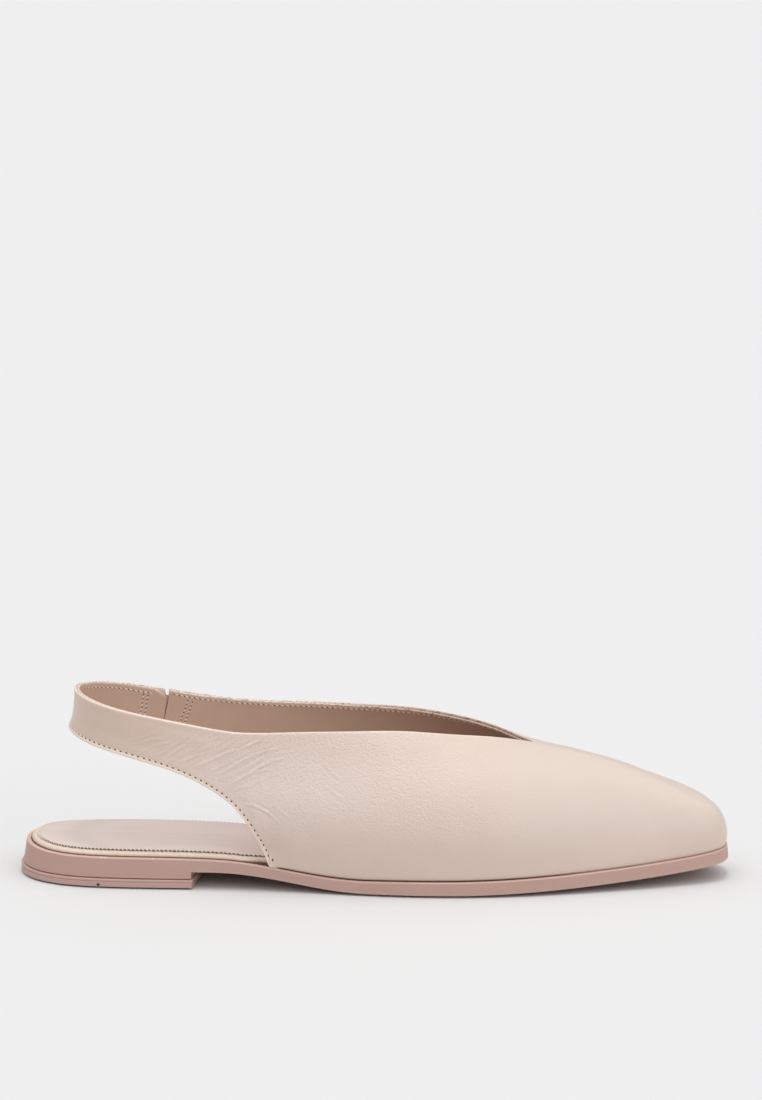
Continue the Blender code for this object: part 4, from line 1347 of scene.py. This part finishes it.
    open_columns = [i for i in range(len(columns) - 1) if not first <= i < last]
    top_loop = edge_strip(
        top_share, top_rows, top_out, top_climb, round_top,
        outer[:, -1], inner[:, -1], open_columns,
    )
    foot_loop = edge_strip(
        foot_share, foot_rows, foot_out, foot_climb, round_foot,
        outer[:, 0], inner[:, 0], range(len(columns) - 1),
    )
    for i in (0, len(columns) - 1):
        around = list(outer[i]) + list(top_loop[i][1:-1]) + list(inner[i][::-1])
        around += list(foot_loop[i][1:-1][::-1])
        faces.append(tuple(int(c) for c in around))
        cut_faces.append(1)
    points = np.concatenate(points)
    info = np.concatenate(info)
    used = np.zeros(len(points), bool)
    for face in faces:
        used[list(face)] = True
    renumber = np.cumsum(used) - 1
    faces = [tuple(int(renumber[c]) for c in face) for face in faces]
    return points[used], faces, cut_faces, info[used]


def foot_trim(rows):
    """How far the strap's lower edge hangs below the lasted line."""
    behind = rows_from(rows, TOE_ROW) - CORNER_ROW
    return FOOT_TRIM * smooth_step(1.5, 3.5, behind)


def strip_edges(columns):
    """Shares of the lower and upper edge, which overhang the lasted line a little."""
    from_throat = np.abs(columns - TOE_ROW) - THROAT_ROW
    top_length = np.linalg.norm(skin_frame(columns, np.ones(len(columns)))[1], axis=-1)
    top_trim = TOP_TRIM[0] + (TOP_TRIM[1] - TOP_TRIM[0]) * smooth_step(24.0, 30.0, columns)
    foot_length = np.linalg.norm(skin_frame(columns, np.zeros(len(columns)))[1], axis=-1)
    top_trim = top_trim * smooth_step(0.0, 0.8, from_throat)
    return -foot_trim(columns) / foot_length, 1 + top_trim / top_length


def no_depth(row, share):
    """The leather's outer face lies on the skin itself."""
    return np.zeros(np.broadcast(row, share).shape)


def leather_relief(row, share, position, from_foot):
    """How far the leather stands out: creases, swell, the pull of the seam, lap and belly."""
    behind = smooth_step(CORNER_ROW - 0.2, CORNER_ROW + 0.2, rows_from(row, TOE_ROW))
    seam = SEAM_PUFF * np.exp(-((from_foot - STITCH_FROM_EDGE / 2) / SEAM_WIDTH) ** 2)
    seam -= SEAM_PULL * np.exp(-((from_foot - STITCH_FROM_EDGE) / SEAM_WIDTH) ** 2)
    above_rim = position[..., 2] - rim_up(np.clip(position[..., 0], 0.0, LENGTH))
    from_toe = rows_from(row, TOE_ROW)
    start, full, end = BELLY_HEIGHT
    belly = BELLY_OUT * smooth_step(*BELLY_ALONG, position[..., 0])
    belly = belly * smooth_step(BELLY_ROWS[1], BELLY_ROWS[0], from_toe)
    lap = LAP_OUT * smooth_step(*LAP_HEIGHT, above_rim)
    lap = lap * smooth_step(CORNER_LAP[1], CORNER_LAP[0], from_toe)
    swollen = lap + (belly - lap) * smooth_step(start, full, above_rim)
    swollen = swollen * (1 - smooth_step(full, end, above_rim))
    return crease_relief(position) + swell_relief(row, share) + seam * behind + swollen


leather_columns, *leather_ridge = strip_columns(LEATHER_SPANS)
points, faces, cut_faces, info = upper_shell(
    leather_columns, leather_ridge, LEATHER_STEPS, LEATHER_BACK_STEPS,
    no_depth, leather_depth, leather_relief, strip_edges,
)
leather_face = BVHTree.FromPolygons([Vector(point) for point in points], faces)
along, across, up = points.T

# Areas of the hide: its pebble, slack that wrinkles, painted shade towards the strap and on the
# fore part, painted sheen on the quarter, raw edges darker towards the throat, paler edges as
# painted highlight and painted shade in the gap at the rim. A pair says where one starts and where
# it is full, an oval has a middle and a reach.
PEBBLE_ALONG = ((205.0, 140.0), (48.0, 86.0))
PEBBLE_UP = (12.0, 30.0)
SLACK_QUARTER = ((80.0, 48.0), (22.0, 11.0))
SLACK_STRAP = ((52.0, 57.0), (20.0, 7.0))
SLACK_INSIDE = 0.6
STRAP_SHADE_ALONG = (74.0, 46.0)
FORE_SHADE_ALONG = (160.0, 195.0)
FORE_SHADE_UP = (12.0, 26.0)
SHEEN_MIDDLE = (108.0, 40.0)
SHEEN_REACH = (58.0, 44.0, 16.0)
THROAT_ALONG = (90.0, 160.0)
EDGE_HIGHLIGHT_REACH = 0.55
EDGE_HIGHLIGHT_FOOT = (0.9, 1.6)
NEAR_STRAP_ROW = 35.0
GAP_SHADE_UP = (0.35, 0.95)
GAP_SHADE_FADE = (180.0, 225.0)


def oval(along, up, middle, reach):
    """A soft oval area on the side: 1 in its middle, fading over its reach along and up."""
    away = ((along - middle[0]) / reach[0]) ** 2 + ((up - middle[1]) / reach[1]) ** 2
    return np.exp(-away)


row, _, from_foot, from_top = info.T
from_toe = rows_from(row, TOE_ROW)
pebble = smooth_step(*PEBBLE_ALONG[0], along) * smooth_step(*PEBBLE_ALONG[1], along)
pebble = (0.25 + 0.75 * pebble) * (0.45 + 0.55 * smooth_step(*PEBBLE_UP, up))
slack = np.maximum(oval(along, up, *SLACK_QUARTER), 0.7 * oval(along, up, *SLACK_STRAP))
slack = slack * np.where(across > 0.0, SLACK_INSIDE, 1.0)
# Painted shade: the leather darkens towards the heel strap.
strap_shade = smooth_step(*STRAP_SHADE_ALONG, along)
# Painted shade: the upper part of the vamp and toe is toned down.
fore = smooth_step(*FORE_SHADE_ALONG, along) * smooth_step(*FORE_SHADE_UP, up)
# Painted sheen: a paler oval on the quarter.
sheen_reach = np.where(along < SHEEN_MIDDLE[0], SHEEN_REACH[0], SHEEN_REACH[1])
painted_sheen = oval(along, up, SHEEN_MIDDLE, (sheen_reach, SHEEN_REACH[2]))
# Painted highlight: paler along the top edge, fully on the outer side and round the strap's back, a
# quarter as much on the inner side, and along the lower edge behind the corners.
near_side = (row < TOE_ROW) | (row > NEAR_STRAP_ROW)
edge_near = np.exp(-(from_top / EDGE_HIGHLIGHT_REACH) ** 2) * np.where(near_side, 1.0, 0.25)
foot_near = (1 - smooth_step(*EDGE_HIGHLIGHT_FOOT, from_foot)) * (from_toe > CORNER_ROW)
edge_near = np.maximum(edge_near, 0.7 * foot_near)
# Painted shade: the leather is darkened just above the rim, where it goes into the gap, less so
# towards the toe.
gap_shade = 1 - smooth_step(*GAP_SHADE_UP, up - rim_up(np.clip(along, 0.0, LENGTH)))
gap_shade = gap_shade * smooth_step(*CORNER_GAP_SHADE, from_toe)
gap_shade = gap_shade * (1 - 0.6 * smooth_step(*GAP_SHADE_FADE, along))

# Soft full-grain leather: pale pinkish beige, semi-matt with a soft sheen, fine pebbles that
# fade towards the stretched toe, fine slanting wrinkles where it is slack, and paler edges that are
# painted highlight. A paler patch on the quarter is painted sheen, and the strap, the upper vamp
# and the leather just above the rim are darkened as painted shade. Its pores are drawn coarser
# than the real ones so that they show.
LEATHER_TONE = "#DAC6BA"
LEATHER_WARM = "#D6C0B2"
LEATHER_SHEEN = "#E5D3C8"
LEATHER_STRAP_SHADE = "#D5BCAE"
LEATHER_FORE_SHADE = "#D4C3B7"
LEATHER_EDGE_HIGHLIGHT = "#F0DDCC"
LEATHER_GAP_SHADE = "#4B382D"
TONE_MM = 26.0
PEBBLE_MM = (0.95, 0.95, 0.62)
PORE_MM = 0.3
WRINKLE_MM = 2.1
WRINKLE_PATCH_MM = 9.0
WRINKLE_TURN = 34.0
PORE_DEPTH_MM = 0.05
PEBBLE_DEPTH_MM = 0.2
WRINKLE_DEPTH_MM = 0.19

upper_leather, tree, shader, where = start_material(
    "soft_grain_leather", 0.4, Specular_IOR_Level=0.65, Sheen_Weight=0.12, Sheen_Roughness=0.4
)
tone = mottled(tree, where, TONE_MM, LEATHER_TONE, LEATHER_WARM, detail=3.0)
# The marks in turn: painted shade towards the strap, painted shade on the fore part, painted sheen,
# painted highlight on the edges and painted shade in the gap at the rim.
for mark, shade in (
    ("strap_shade", LEATHER_STRAP_SHADE), ("fore", LEATHER_FORE_SHADE), ("painted_sheen", LEATHER_SHEEN),
    ("edge", LEATHER_EDGE_HIGHLIGHT), ("gap", LEATHER_GAP_SHADE),
):
    tone = shaded(tree, tone, mark, shade)
tree.links.new(tone, shader.inputs["Base Color"])
grained = add_node(tree, "ShaderNodeMapping", {
    "Vector": where, "Scale": tuple(1 / (size * MM) for size in PEBBLE_MM),
})
pebbles = add_node(tree, "ShaderNodeTexVoronoi", {
    "Vector": grained.outputs["Vector"], "Scale": 1.0, "Smoothness": 0.6, "Randomness": 1.0,
}, feature="SMOOTH_F1")
pebble_mark = add_node(tree, "ShaderNodeAttribute", attribute_name="pebble")
pebble_height = add_node(tree, "ShaderNodeMath", {
    0: pebbles.outputs["Distance"], 1: pebble_mark.outputs["Fac"],
}, operation="MULTIPLY")
pores = add_node(tree, "ShaderNodeTexNoise", {
    "Vector": where, "Scale": 1 / (PORE_MM * MM), "Detail": 2.0,
})
turned = add_node(tree, "ShaderNodeMapping", {
    "Vector": where, "Rotation": (0.0, math.radians(WRINKLE_TURN), 0.0),
})
wrinkles = add_node(tree, "ShaderNodeTexWave", {
    "Vector": turned.outputs["Vector"], "Scale": math.pi / 10 / (WRINKLE_MM * MM),
    "Distortion": 5.0, "Detail": 2.0, "Detail Scale": 0.35, "Detail Roughness": 0.6,
}, wave_type="BANDS", bands_direction="Z", wave_profile="SIN")
slack_mark = add_node(tree, "ShaderNodeAttribute", attribute_name="slack")
patches = add_node(tree, "ShaderNodeTexNoise", {
    "Vector": where, "Scale": 1 / (WRINKLE_PATCH_MM * MM), "Detail": 2.0,
})
patchy = add_node(tree, "ShaderNodeMapRange", {
    "Value": patches.outputs["Fac"], "From Min": 0.4, "From Max": 0.62,
    "To Min": 0.4, "To Max": 1.7,
})
slack_height = add_node(tree, "ShaderNodeMath", {
    0: patchy.outputs["Result"], 1: slack_mark.outputs["Fac"],
}, operation="MULTIPLY")
wrinkle_height = add_node(tree, "ShaderNodeMath", {
    0: wrinkles.outputs["Fac"], 1: slack_height.outputs["Value"],
}, operation="MULTIPLY")
fine = add_node(tree, "ShaderNodeBump", {
    "Height": pores.outputs["Fac"], "Strength": 0.18, "Distance": PORE_DEPTH_MM * MM,
})
pebbled = add_node(tree, "ShaderNodeBump", {
    "Height": pebble_height.outputs["Value"], "Strength": 0.9,
    "Distance": PEBBLE_DEPTH_MM * MM, "Normal": fine.outputs["Normal"],
}, invert=True)
wrinkled = add_node(tree, "ShaderNodeBump", {
    "Height": wrinkle_height.outputs["Value"], "Strength": 1.0,
    "Distance": WRINKLE_DEPTH_MM * MM, "Normal": pebbled.outputs["Normal"],
})
tree.links.new(wrinkled.outputs["Normal"], shader.inputs["Normal"])

# Raw cut edge of the same hide: brown-grey fibres, matt and speckled, darker towards the throat.
RAW_MM = 0.9
RAW_TONES = (("#8B7265", "#E3D1C6"), ("#54403A", "#C6AA9B"))
RAW_SPREAD = (0.34, 0.52)
raw_edge, tree, shader, where = start_material("raw_leather_edge", 0.85)
fibres = add_node(tree, "ShaderNodeTexNoise", {
    "Vector": where, "Scale": 1 / (RAW_MM * MM), "Detail": 4.0, "Roughness": 0.7,
})
throat_mark = add_node(tree, "ShaderNodeAttribute", attribute_name="towards_throat")
tones = []
for dark_and_light in RAW_TONES:
    speckle = add_node(tree, "ShaderNodeValToRGB", {"Fac": fibres.outputs["Fac"]})
    for end, position, tone in zip(speckle.color_ramp.elements, RAW_SPREAD, dark_and_light):
        end.position = position
        end.color = hex_color(tone)
    tones.append(speckle.outputs["Color"])
tone = add_node(tree, "ShaderNodeMix", {
    0: throat_mark.outputs["Fac"], 6: tones[0], 7: tones[1],
}, data_type="RGBA")
tree.links.new(tone.outputs[2], shader.inputs["Base Color"])
rough = add_node(tree, "ShaderNodeBump", {
    "Height": fibres.outputs["Fac"], "Strength": 0.6, "Distance": 0.12 * MM,
})
tree.links.new(rough.outputs["Normal"], shader.inputs["Normal"])

leather = make_piece(
    "upper_leather", place(along, across, up), faces,
    [upper_leather, raw_edge],
    {
        "pebble": pebble, "slack": slack, "strap_shade": strap_shade, "fore": fore, "painted_sheen": painted_sheen,
        "edge": edge_near, "gap": gap_shade, "towards_throat": smooth_step(*THROAT_ALONG, along),
    }, cut_faces,
)
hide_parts("upper")

# Lining: thin smooth leather inside the whole upper and strap, stitched to it along the
# edges. At the slit it stands away from the outer leather, and the elastic lies between.

LINING_STEPS = 44
LINING_FRONT_STEPS = 8
LINING_SPANS = table(
    "first last columns",
    (-3.5, 0.0, 40),
    (0.0, 8.0, 80),
    (8.0, 10.6, 30),
    (10.6, 14.0, 36),
    (14.0, 20.0, 39),
    (26.0, 32.0, 49),
    (32.0, 36.5, 24),
)
FLAP_CHAMFER = 0.13
FLAP_CHAMFER_ROWS = 0.24
LINING_PALE_EDGE = 0.6


def lining_front(row, share):
    """Depth of the lining's face that meets the outer leather."""
    return wall_at(row, share) - LINING * leather_depth(row, share) / (LEATHER_SHARE * WALL)


def flap_cut(columns):
    """Edges of the lining, with the upper corner of the rear flap cut off at the slit."""
    foot, top = strip_edges(columns)
    chamfer = np.clip(1 - (columns - columns[0]) / FLAP_CHAMFER_ROWS, 0.0, 1.0)
    return foot, top - FLAP_CHAMFER * chamfer


def no_relief(row, share, position, from_foot):
    """The lining is smooth."""
    return np.zeros(row.shape)


lining_columns, *lining_ridge = strip_columns(LINING_SPANS)
points, faces, cut_faces, info = upper_shell(
    lining_columns, lining_ridge, LINING_FRONT_STEPS, LINING_STEPS,
    lining_front, wall_at, no_relief, flap_cut,
)
along, across, up = points.T
edge_near = np.exp(-(info[:, 3] / LINING_PALE_EDGE) ** 2)
edge_near = edge_near * (1 - 0.6 * smooth_step(*THROAT_ALONG, along))

# Lining leather: smooth tan-pink with open pores, matt and a little warmer than the outside. The
# pores are drawn coarse enough to show.
LINING_TONE = "#CAAC99"
LINING_WARM = "#BF9F8A"
LINING_EDGE = "#E2CCBC"
LINING_MOTTLE_MM = 9.0
LINING_PORE_MM = 0.5
lining_leather, tree, shader, where = start_material(
    "lining_leather", 0.55, Specular_IOR_Level=0.35
)
tone = mottled(tree, where, LINING_MOTTLE_MM, LINING_TONE, LINING_WARM, detail=4.0)
tone = shaded(tree, tone, "edge", LINING_EDGE)
tree.links.new(tone, shader.inputs["Base Color"])
fine_grain(tree, shader, where, LINING_PORE_MM, detail=3.0, strength=0.3, depth_mm=0.06)

lining = make_piece(
    "upper_lining", place(along, across, up), faces,
    [lining_leather, raw_edge],
    {"edge": edge_near, "towards_throat": smooth_step(*THROAT_ALONG, along)}, cut_faces,
)
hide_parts("upper")

# Seams of the upper: lockstitch in pale thread. One row follows the strap's lower edge and the
# quarters' rear edges outside, one the topline inside, and double rows hold the elastic.

HOLE_SINK = 0.02
SEAM_PITCH = 2.25
SEAM_SLANT = -20.0
SEAM_LENGTH = 1.6
SEAM_THREAD = 0.25
SEAM_HOLE = 0.34
SEAM_RISE = 0.12
SEAM_DIP = 0.14
TOP_SEAM_PITCH = 2.0
TAB_PITCH = 1.6
TAB_SHARE = (0.18, 0.92)
EDGE_SEAM_END = 7.76
TOP_SEAM_END = 13.7
SEAM_STEPS = 900
SEAM_LONGEST = 999.0
SLIT_MARGIN = 0.09
TAB_ROWS = table(
    "foot top",
    (-0.41, -0.54),
    (-0.31, -0.43),
    (0.44, 0.44),
    (0.55, 0.55),
)


def on_leather(points, out):
    """The same places on the leather's outer face, whatever its folds."""
    found = []
    for point, away in zip(points, out):
        hit = leather_face.ray_cast(Vector(point + 5.0 * away), Vector(-away), 9.0)[0]
        found.append(point if hit is None else np.array(hit) - HOLE_SINK * away)
    return np.array(found)


def seam_points(path_rows, path_share, stops, depth):
    """Places along a path on the skin, at the given lengths from its start, and their outside."""
    path = skin(path_rows, path_share)
    length = np.concatenate([[0.0], np.cumsum(np.linalg.norm(np.diff(path, axis=0), axis=-1))])
    stops = stops[stops < length[-1]]
    rows = np.interp(stops, length, path_rows)
    share = np.interp(stops, length, path_share)
    out, _ = skin_frame(rows, share)
    points = skin(rows, share) - out * depth(rows, share)[:, None]
    if depth is no_depth:
        return on_leather(points, out), out
    return points, -out


def sew_seam(name, path_rows, path_share, pitch, depth, sizes):
    """A row of slanting stitches along a path, with a hole after each."""
    stops = np.arange(pitch / 2, SEAM_LONGEST, pitch)
    holes, _ = seam_points(path_rows, path_share, stops + pitch / 2, depth)
    points, out = seam_points(path_rows, path_share, stops[:len(holes)], depth)
    lay = unit(np.gradient(points, axis=0))
    slant = math.radians(SEAM_SLANT)
    lay = lay * math.cos(slant) + np.cross(out, lay) * math.sin(slant)
    return sew(name, place(*points.T), place(*holes.T), lay, out, sizes)


def beside_edge(rows, distance, edge_share):
    """Rows and shares of a line that runs beside the lower (0) or upper (1) edge."""
    step = 0.004
    share = np.full(len(rows), float(edge_share))
    inner = np.clip(share, step, 1 - 3 * step)
    out, climb = skin_frame(rows, share)
    along_row = (skin(rows + step, inner) - skin(rows - step, inner)) / (2 * step)
    aside = unit(np.cross(out, np.gradient(skin(rows, share), axis=0)))
    inwards = np.sign((aside * climb).sum(axis=-1) * (0.5 - edge_share))
    aside *= (inwards * distance)[:, None]
    a, b, c = ((p * q).sum(axis=-1) for p, q in (
        (along_row, along_row), (along_row, climb), (climb, climb),
    ))
    right, rising = (along_row * aside).sum(axis=-1), (climb * aside).sum(axis=-1)
    scale = a * c - b * b
    return rows + (c * right - b * rising) / scale, share + (a * rising - b * right) / scale


outer_seam = {
    "Length": SEAM_LENGTH,
    "Thread Radius": SEAM_THREAD,
    "Rise": SEAM_RISE,
    "Dip": SEAM_DIP,
    "Hole Radius": SEAM_HOLE,
}
for name, first, last in (
    ("strap_edge_stitches", SLIT_ROW - BACK_ROW + SLIT_MARGIN, EDGE_SEAM_END),
    ("inner_edge_stitches", LOOP_ROWS - EDGE_SEAM_END, TOE_ROW + SLIT_ROW - SLIT_MARGIN),
):
    rows = np.linspace(first, last, SEAM_STEPS)
    path = beside_edge(rows, STITCH_FROM_EDGE - foot_trim(rows), 0)
    sew_seam(name, *path, SEAM_PITCH, no_depth, outer_seam)
top_seam = outer_seam | {"Length": 1.25, "Thread Radius": 0.19, "Hole Radius": 0.21}
for name, first, last, drop in (
    ("outer_topline_stitches", SLIT_ROW - BACK_ROW + 0.3, TOP_SEAM_END, 1.7),
    ("inner_topline_stitches", LOOP_ROWS - TOP_SEAM_END, TOE_ROW + SLIT_ROW - 0.1, 0.75),
):
    path = beside_edge(np.linspace(first, last, SEAM_STEPS), drop, 1)
    sew_seam(name, *path, TOP_SEAM_PITCH, wall_at, top_seam)
tab_seam = outer_seam | {"Length": 1.0, "Thread Radius": 0.17, "Hole Radius": 0.23}
share = np.linspace(*TAB_SHARE, 60)
for side, depth in (("inside", wall_at), ("outside", no_depth)):
    for number, (foot, top) in enumerate(zip(TAB_ROWS["foot"], TAB_ROWS["top"])):
        rows = TOE_ROW + SLIT_ROW + foot + (top - foot) * share
        sew_seam(f"tab_stitches_{side}_{number}", rows, share, TAB_PITCH, depth, tab_seam)

# Elastic: a short woven band in the slit, caught between leather and lining on both sides,
# which lets the strap stretch over the heel.

ELASTIC_THICKNESS = 0.6
ELASTIC_ROWS = 0.5
ELASTIC_FOOT = 0.23
ELASTIC_TOP = 0.895
RIB_MM = 0.8
RIB_HEIGHT = 0.06

band_rows = np.linspace(-ELASTIC_ROWS, ELASTIC_ROWS, 61) + TOE_ROW + SLIT_ROW
band_share = np.linspace(ELASTIC_FOOT, ELASTIC_TOP, 41)
row_grid, share_grid = np.meshgrid(band_rows, band_share, indexing="ij")
middle = (leather_depth(row_grid, share_grid) + lining_front(row_grid, share_grid)) / 2
band_out, band_climb = skin_frame(row_grid, share_grid)
across_band = (share_grid - ELASTIC_FOOT) * np.linalg.norm(band_climb, axis=-1)
rib = RIB_HEIGHT * np.cos(2 * math.pi * across_band / RIB_MM)
band_skin = skin(row_grid, share_grid)
band_points = []
for side in (-1.0, 1.0):
    depth = middle + side * (ELASTIC_THICKNESS / 2 - RIB_HEIGHT + rib)
    band_points.extend(place(*(band_skin - band_out * depth[..., None]).reshape(-1, 3).T))
wide = len(band_share)
size = len(band_rows) * wide
around = [i * wide for i in range(len(band_rows))]
around += [(len(band_rows) - 1) * wide + j for j in range(1, wide)]
around += [i * wide + wide - 1 for i in range(len(band_rows) - 2, -1, -1)]
around += list(range(wide - 2, 0, -1))
band_faces = []
for i in range(len(band_rows) - 1):
    for j in range(wide - 1):
        corner = i * wide + j
        quad = (corner, corner + wide, corner + wide + 1, corner + 1)
        band_faces.append(quad)
        band_faces.append(tuple(size + c for c in quad))
for a, b in zip(around, around[1:] + around[:1]):
    band_faces.append((a, b, size + b, size + a))

# Woven rubber and polyester: matt, with fine crosswise threads over its ribs. The threads are
# drawn coarser than the real ones so that they show.
WEB_TONE = "#D9C6B8"
WEB_SHADE = "#B79E8E"
WEAVE_MM = 0.4
elastic_web, tree, shader, where = start_material("woven_elastic", 0.8, Sheen_Weight=0.3)
tone = mottled(tree, where, WEAVE_MM, WEB_TONE, WEB_SHADE, detail=2.0)
tree.links.new(tone, shader.inputs["Base Color"])
fine_grain(tree, shader, where, WEAVE_MM, detail=2.0, strength=0.5, depth_mm=0.1)

elastic = make_piece("strap_elastic_web", band_points, band_faces, [elastic_web])
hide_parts("strap_elastic")

# Stage: a pale matt floor under even studio light, and the camera of the photograph. The lamps
# stand so far away that each is a sun with a wide disc, and the sky fills in from above.

FLOOR_SIZE = 120.0
FLOOR_TONE = "#DADADA"
VIEW_REACH = 200.0
floor_mesh = bpy.data.meshes.new("studio_floor")
half = FLOOR_SIZE / 2
floor_mesh.from_pydata(
    [(-half, -half, 0.0), (half, -half, 0.0), (half, half, 0.0), (-half, half, 0.0)],
    [], [(0, 1, 2, 3)],
)
floor = bpy.data.objects.new("studio_floor", floor_mesh)
bpy.context.scene.collection.objects.link(floor)
floor_paint, _, shader, _ = start_material("studio_floor_paint", 0.9, Specular_IOR_Level=0.1)
shader.inputs["Base Color"].default_value = hex_color(FLOOR_TONE)
floor_mesh.materials.append(floor_paint)

SKY_LOW = 0.07
SKY_TOP = 0.92
SKY_FULL = 0.6
LAMPS = table(
    "strength spread turn rise",
    (0.45, 10.0, 0.0, 88.0),
    (0.65, 60.0, 0.0, 84.0),
    (0.56, 55.0, 48.0, 25.0),
)

world = bpy.data.worlds.new("soft_studio")
bpy.context.scene.world = world
world.use_nodes = True
tree = world.node_tree
background = tree.nodes["Background"]
direction = add_node(tree, "ShaderNodeTexCoord")
height = add_node(tree, "ShaderNodeSeparateXYZ", {"Vector": direction.outputs["Generated"]})
sky = add_node(tree, "ShaderNodeMapRange", {
    "Value": height.outputs["Z"], "From Min": 0.0, "From Max": SKY_FULL,
    "To Min": SKY_LOW, "To Max": SKY_TOP,
})
tree.links.new(sky.outputs["Result"], background.inputs["Strength"])
background.inputs["Color"].default_value = (1.0, 1.0, 1.0, 1.0)

# A bright and a soft box overhead, and a soft one low in front of the toe.
for strength, spread, turn, rise_angle in zip(*LAMPS.values()):
    lamp = bpy.data.lights.new("softbox", "SUN")
    lamp.energy = strength
    lamp.angle = math.radians(spread)
    softbox = bpy.data.objects.new("softbox", lamp)
    bpy.context.scene.collection.objects.link(softbox)
    softbox.rotation_euler = (math.radians(90.0 - rise_angle), 0.0, math.radians(turn))

CAMERA_DISTANCE = 2.0
CAMERA_RISE = 15.2
CAMERA_TURN = 1.7
CAMERA_ACROSS = -1.2
PHOTO_SIZE = (762, 1100)
PIXEL_MM = 0.372
AIM_OFFSET = (6.8, 321.1)

camera = bpy.data.cameras.new("photo_camera")
camera.sensor_width = 36.0
camera.lens = camera.sensor_width * CAMERA_DISTANCE / (max(PHOTO_SIZE) * PIXEL_MM * MM)
camera.shift_x, camera.shift_y = (offset / max(PHOTO_SIZE) for offset in AIM_OFFSET)
camera.clip_end = VIEW_REACH
photo_camera = bpy.data.objects.new("photo_camera", camera)
bpy.context.scene.collection.objects.link(photo_camera)
turn, climb = math.radians(CAMERA_TURN), math.radians(CAMERA_RISE)
photo_camera.location = (
    CAMERA_DISTANCE * math.sin(turn) * math.cos(climb),
    -CAMERA_DISTANCE * math.cos(turn) * math.cos(climb) + CAMERA_ACROSS * MM,
    CAMERA_DISTANCE * math.sin(climb),
)
photo_camera.rotation_euler = (math.pi / 2 - climb, 0.0, turn)
bpy.context.scene.camera = photo_camera
bpy.context.scene.view_settings.view_transform = "Standard"
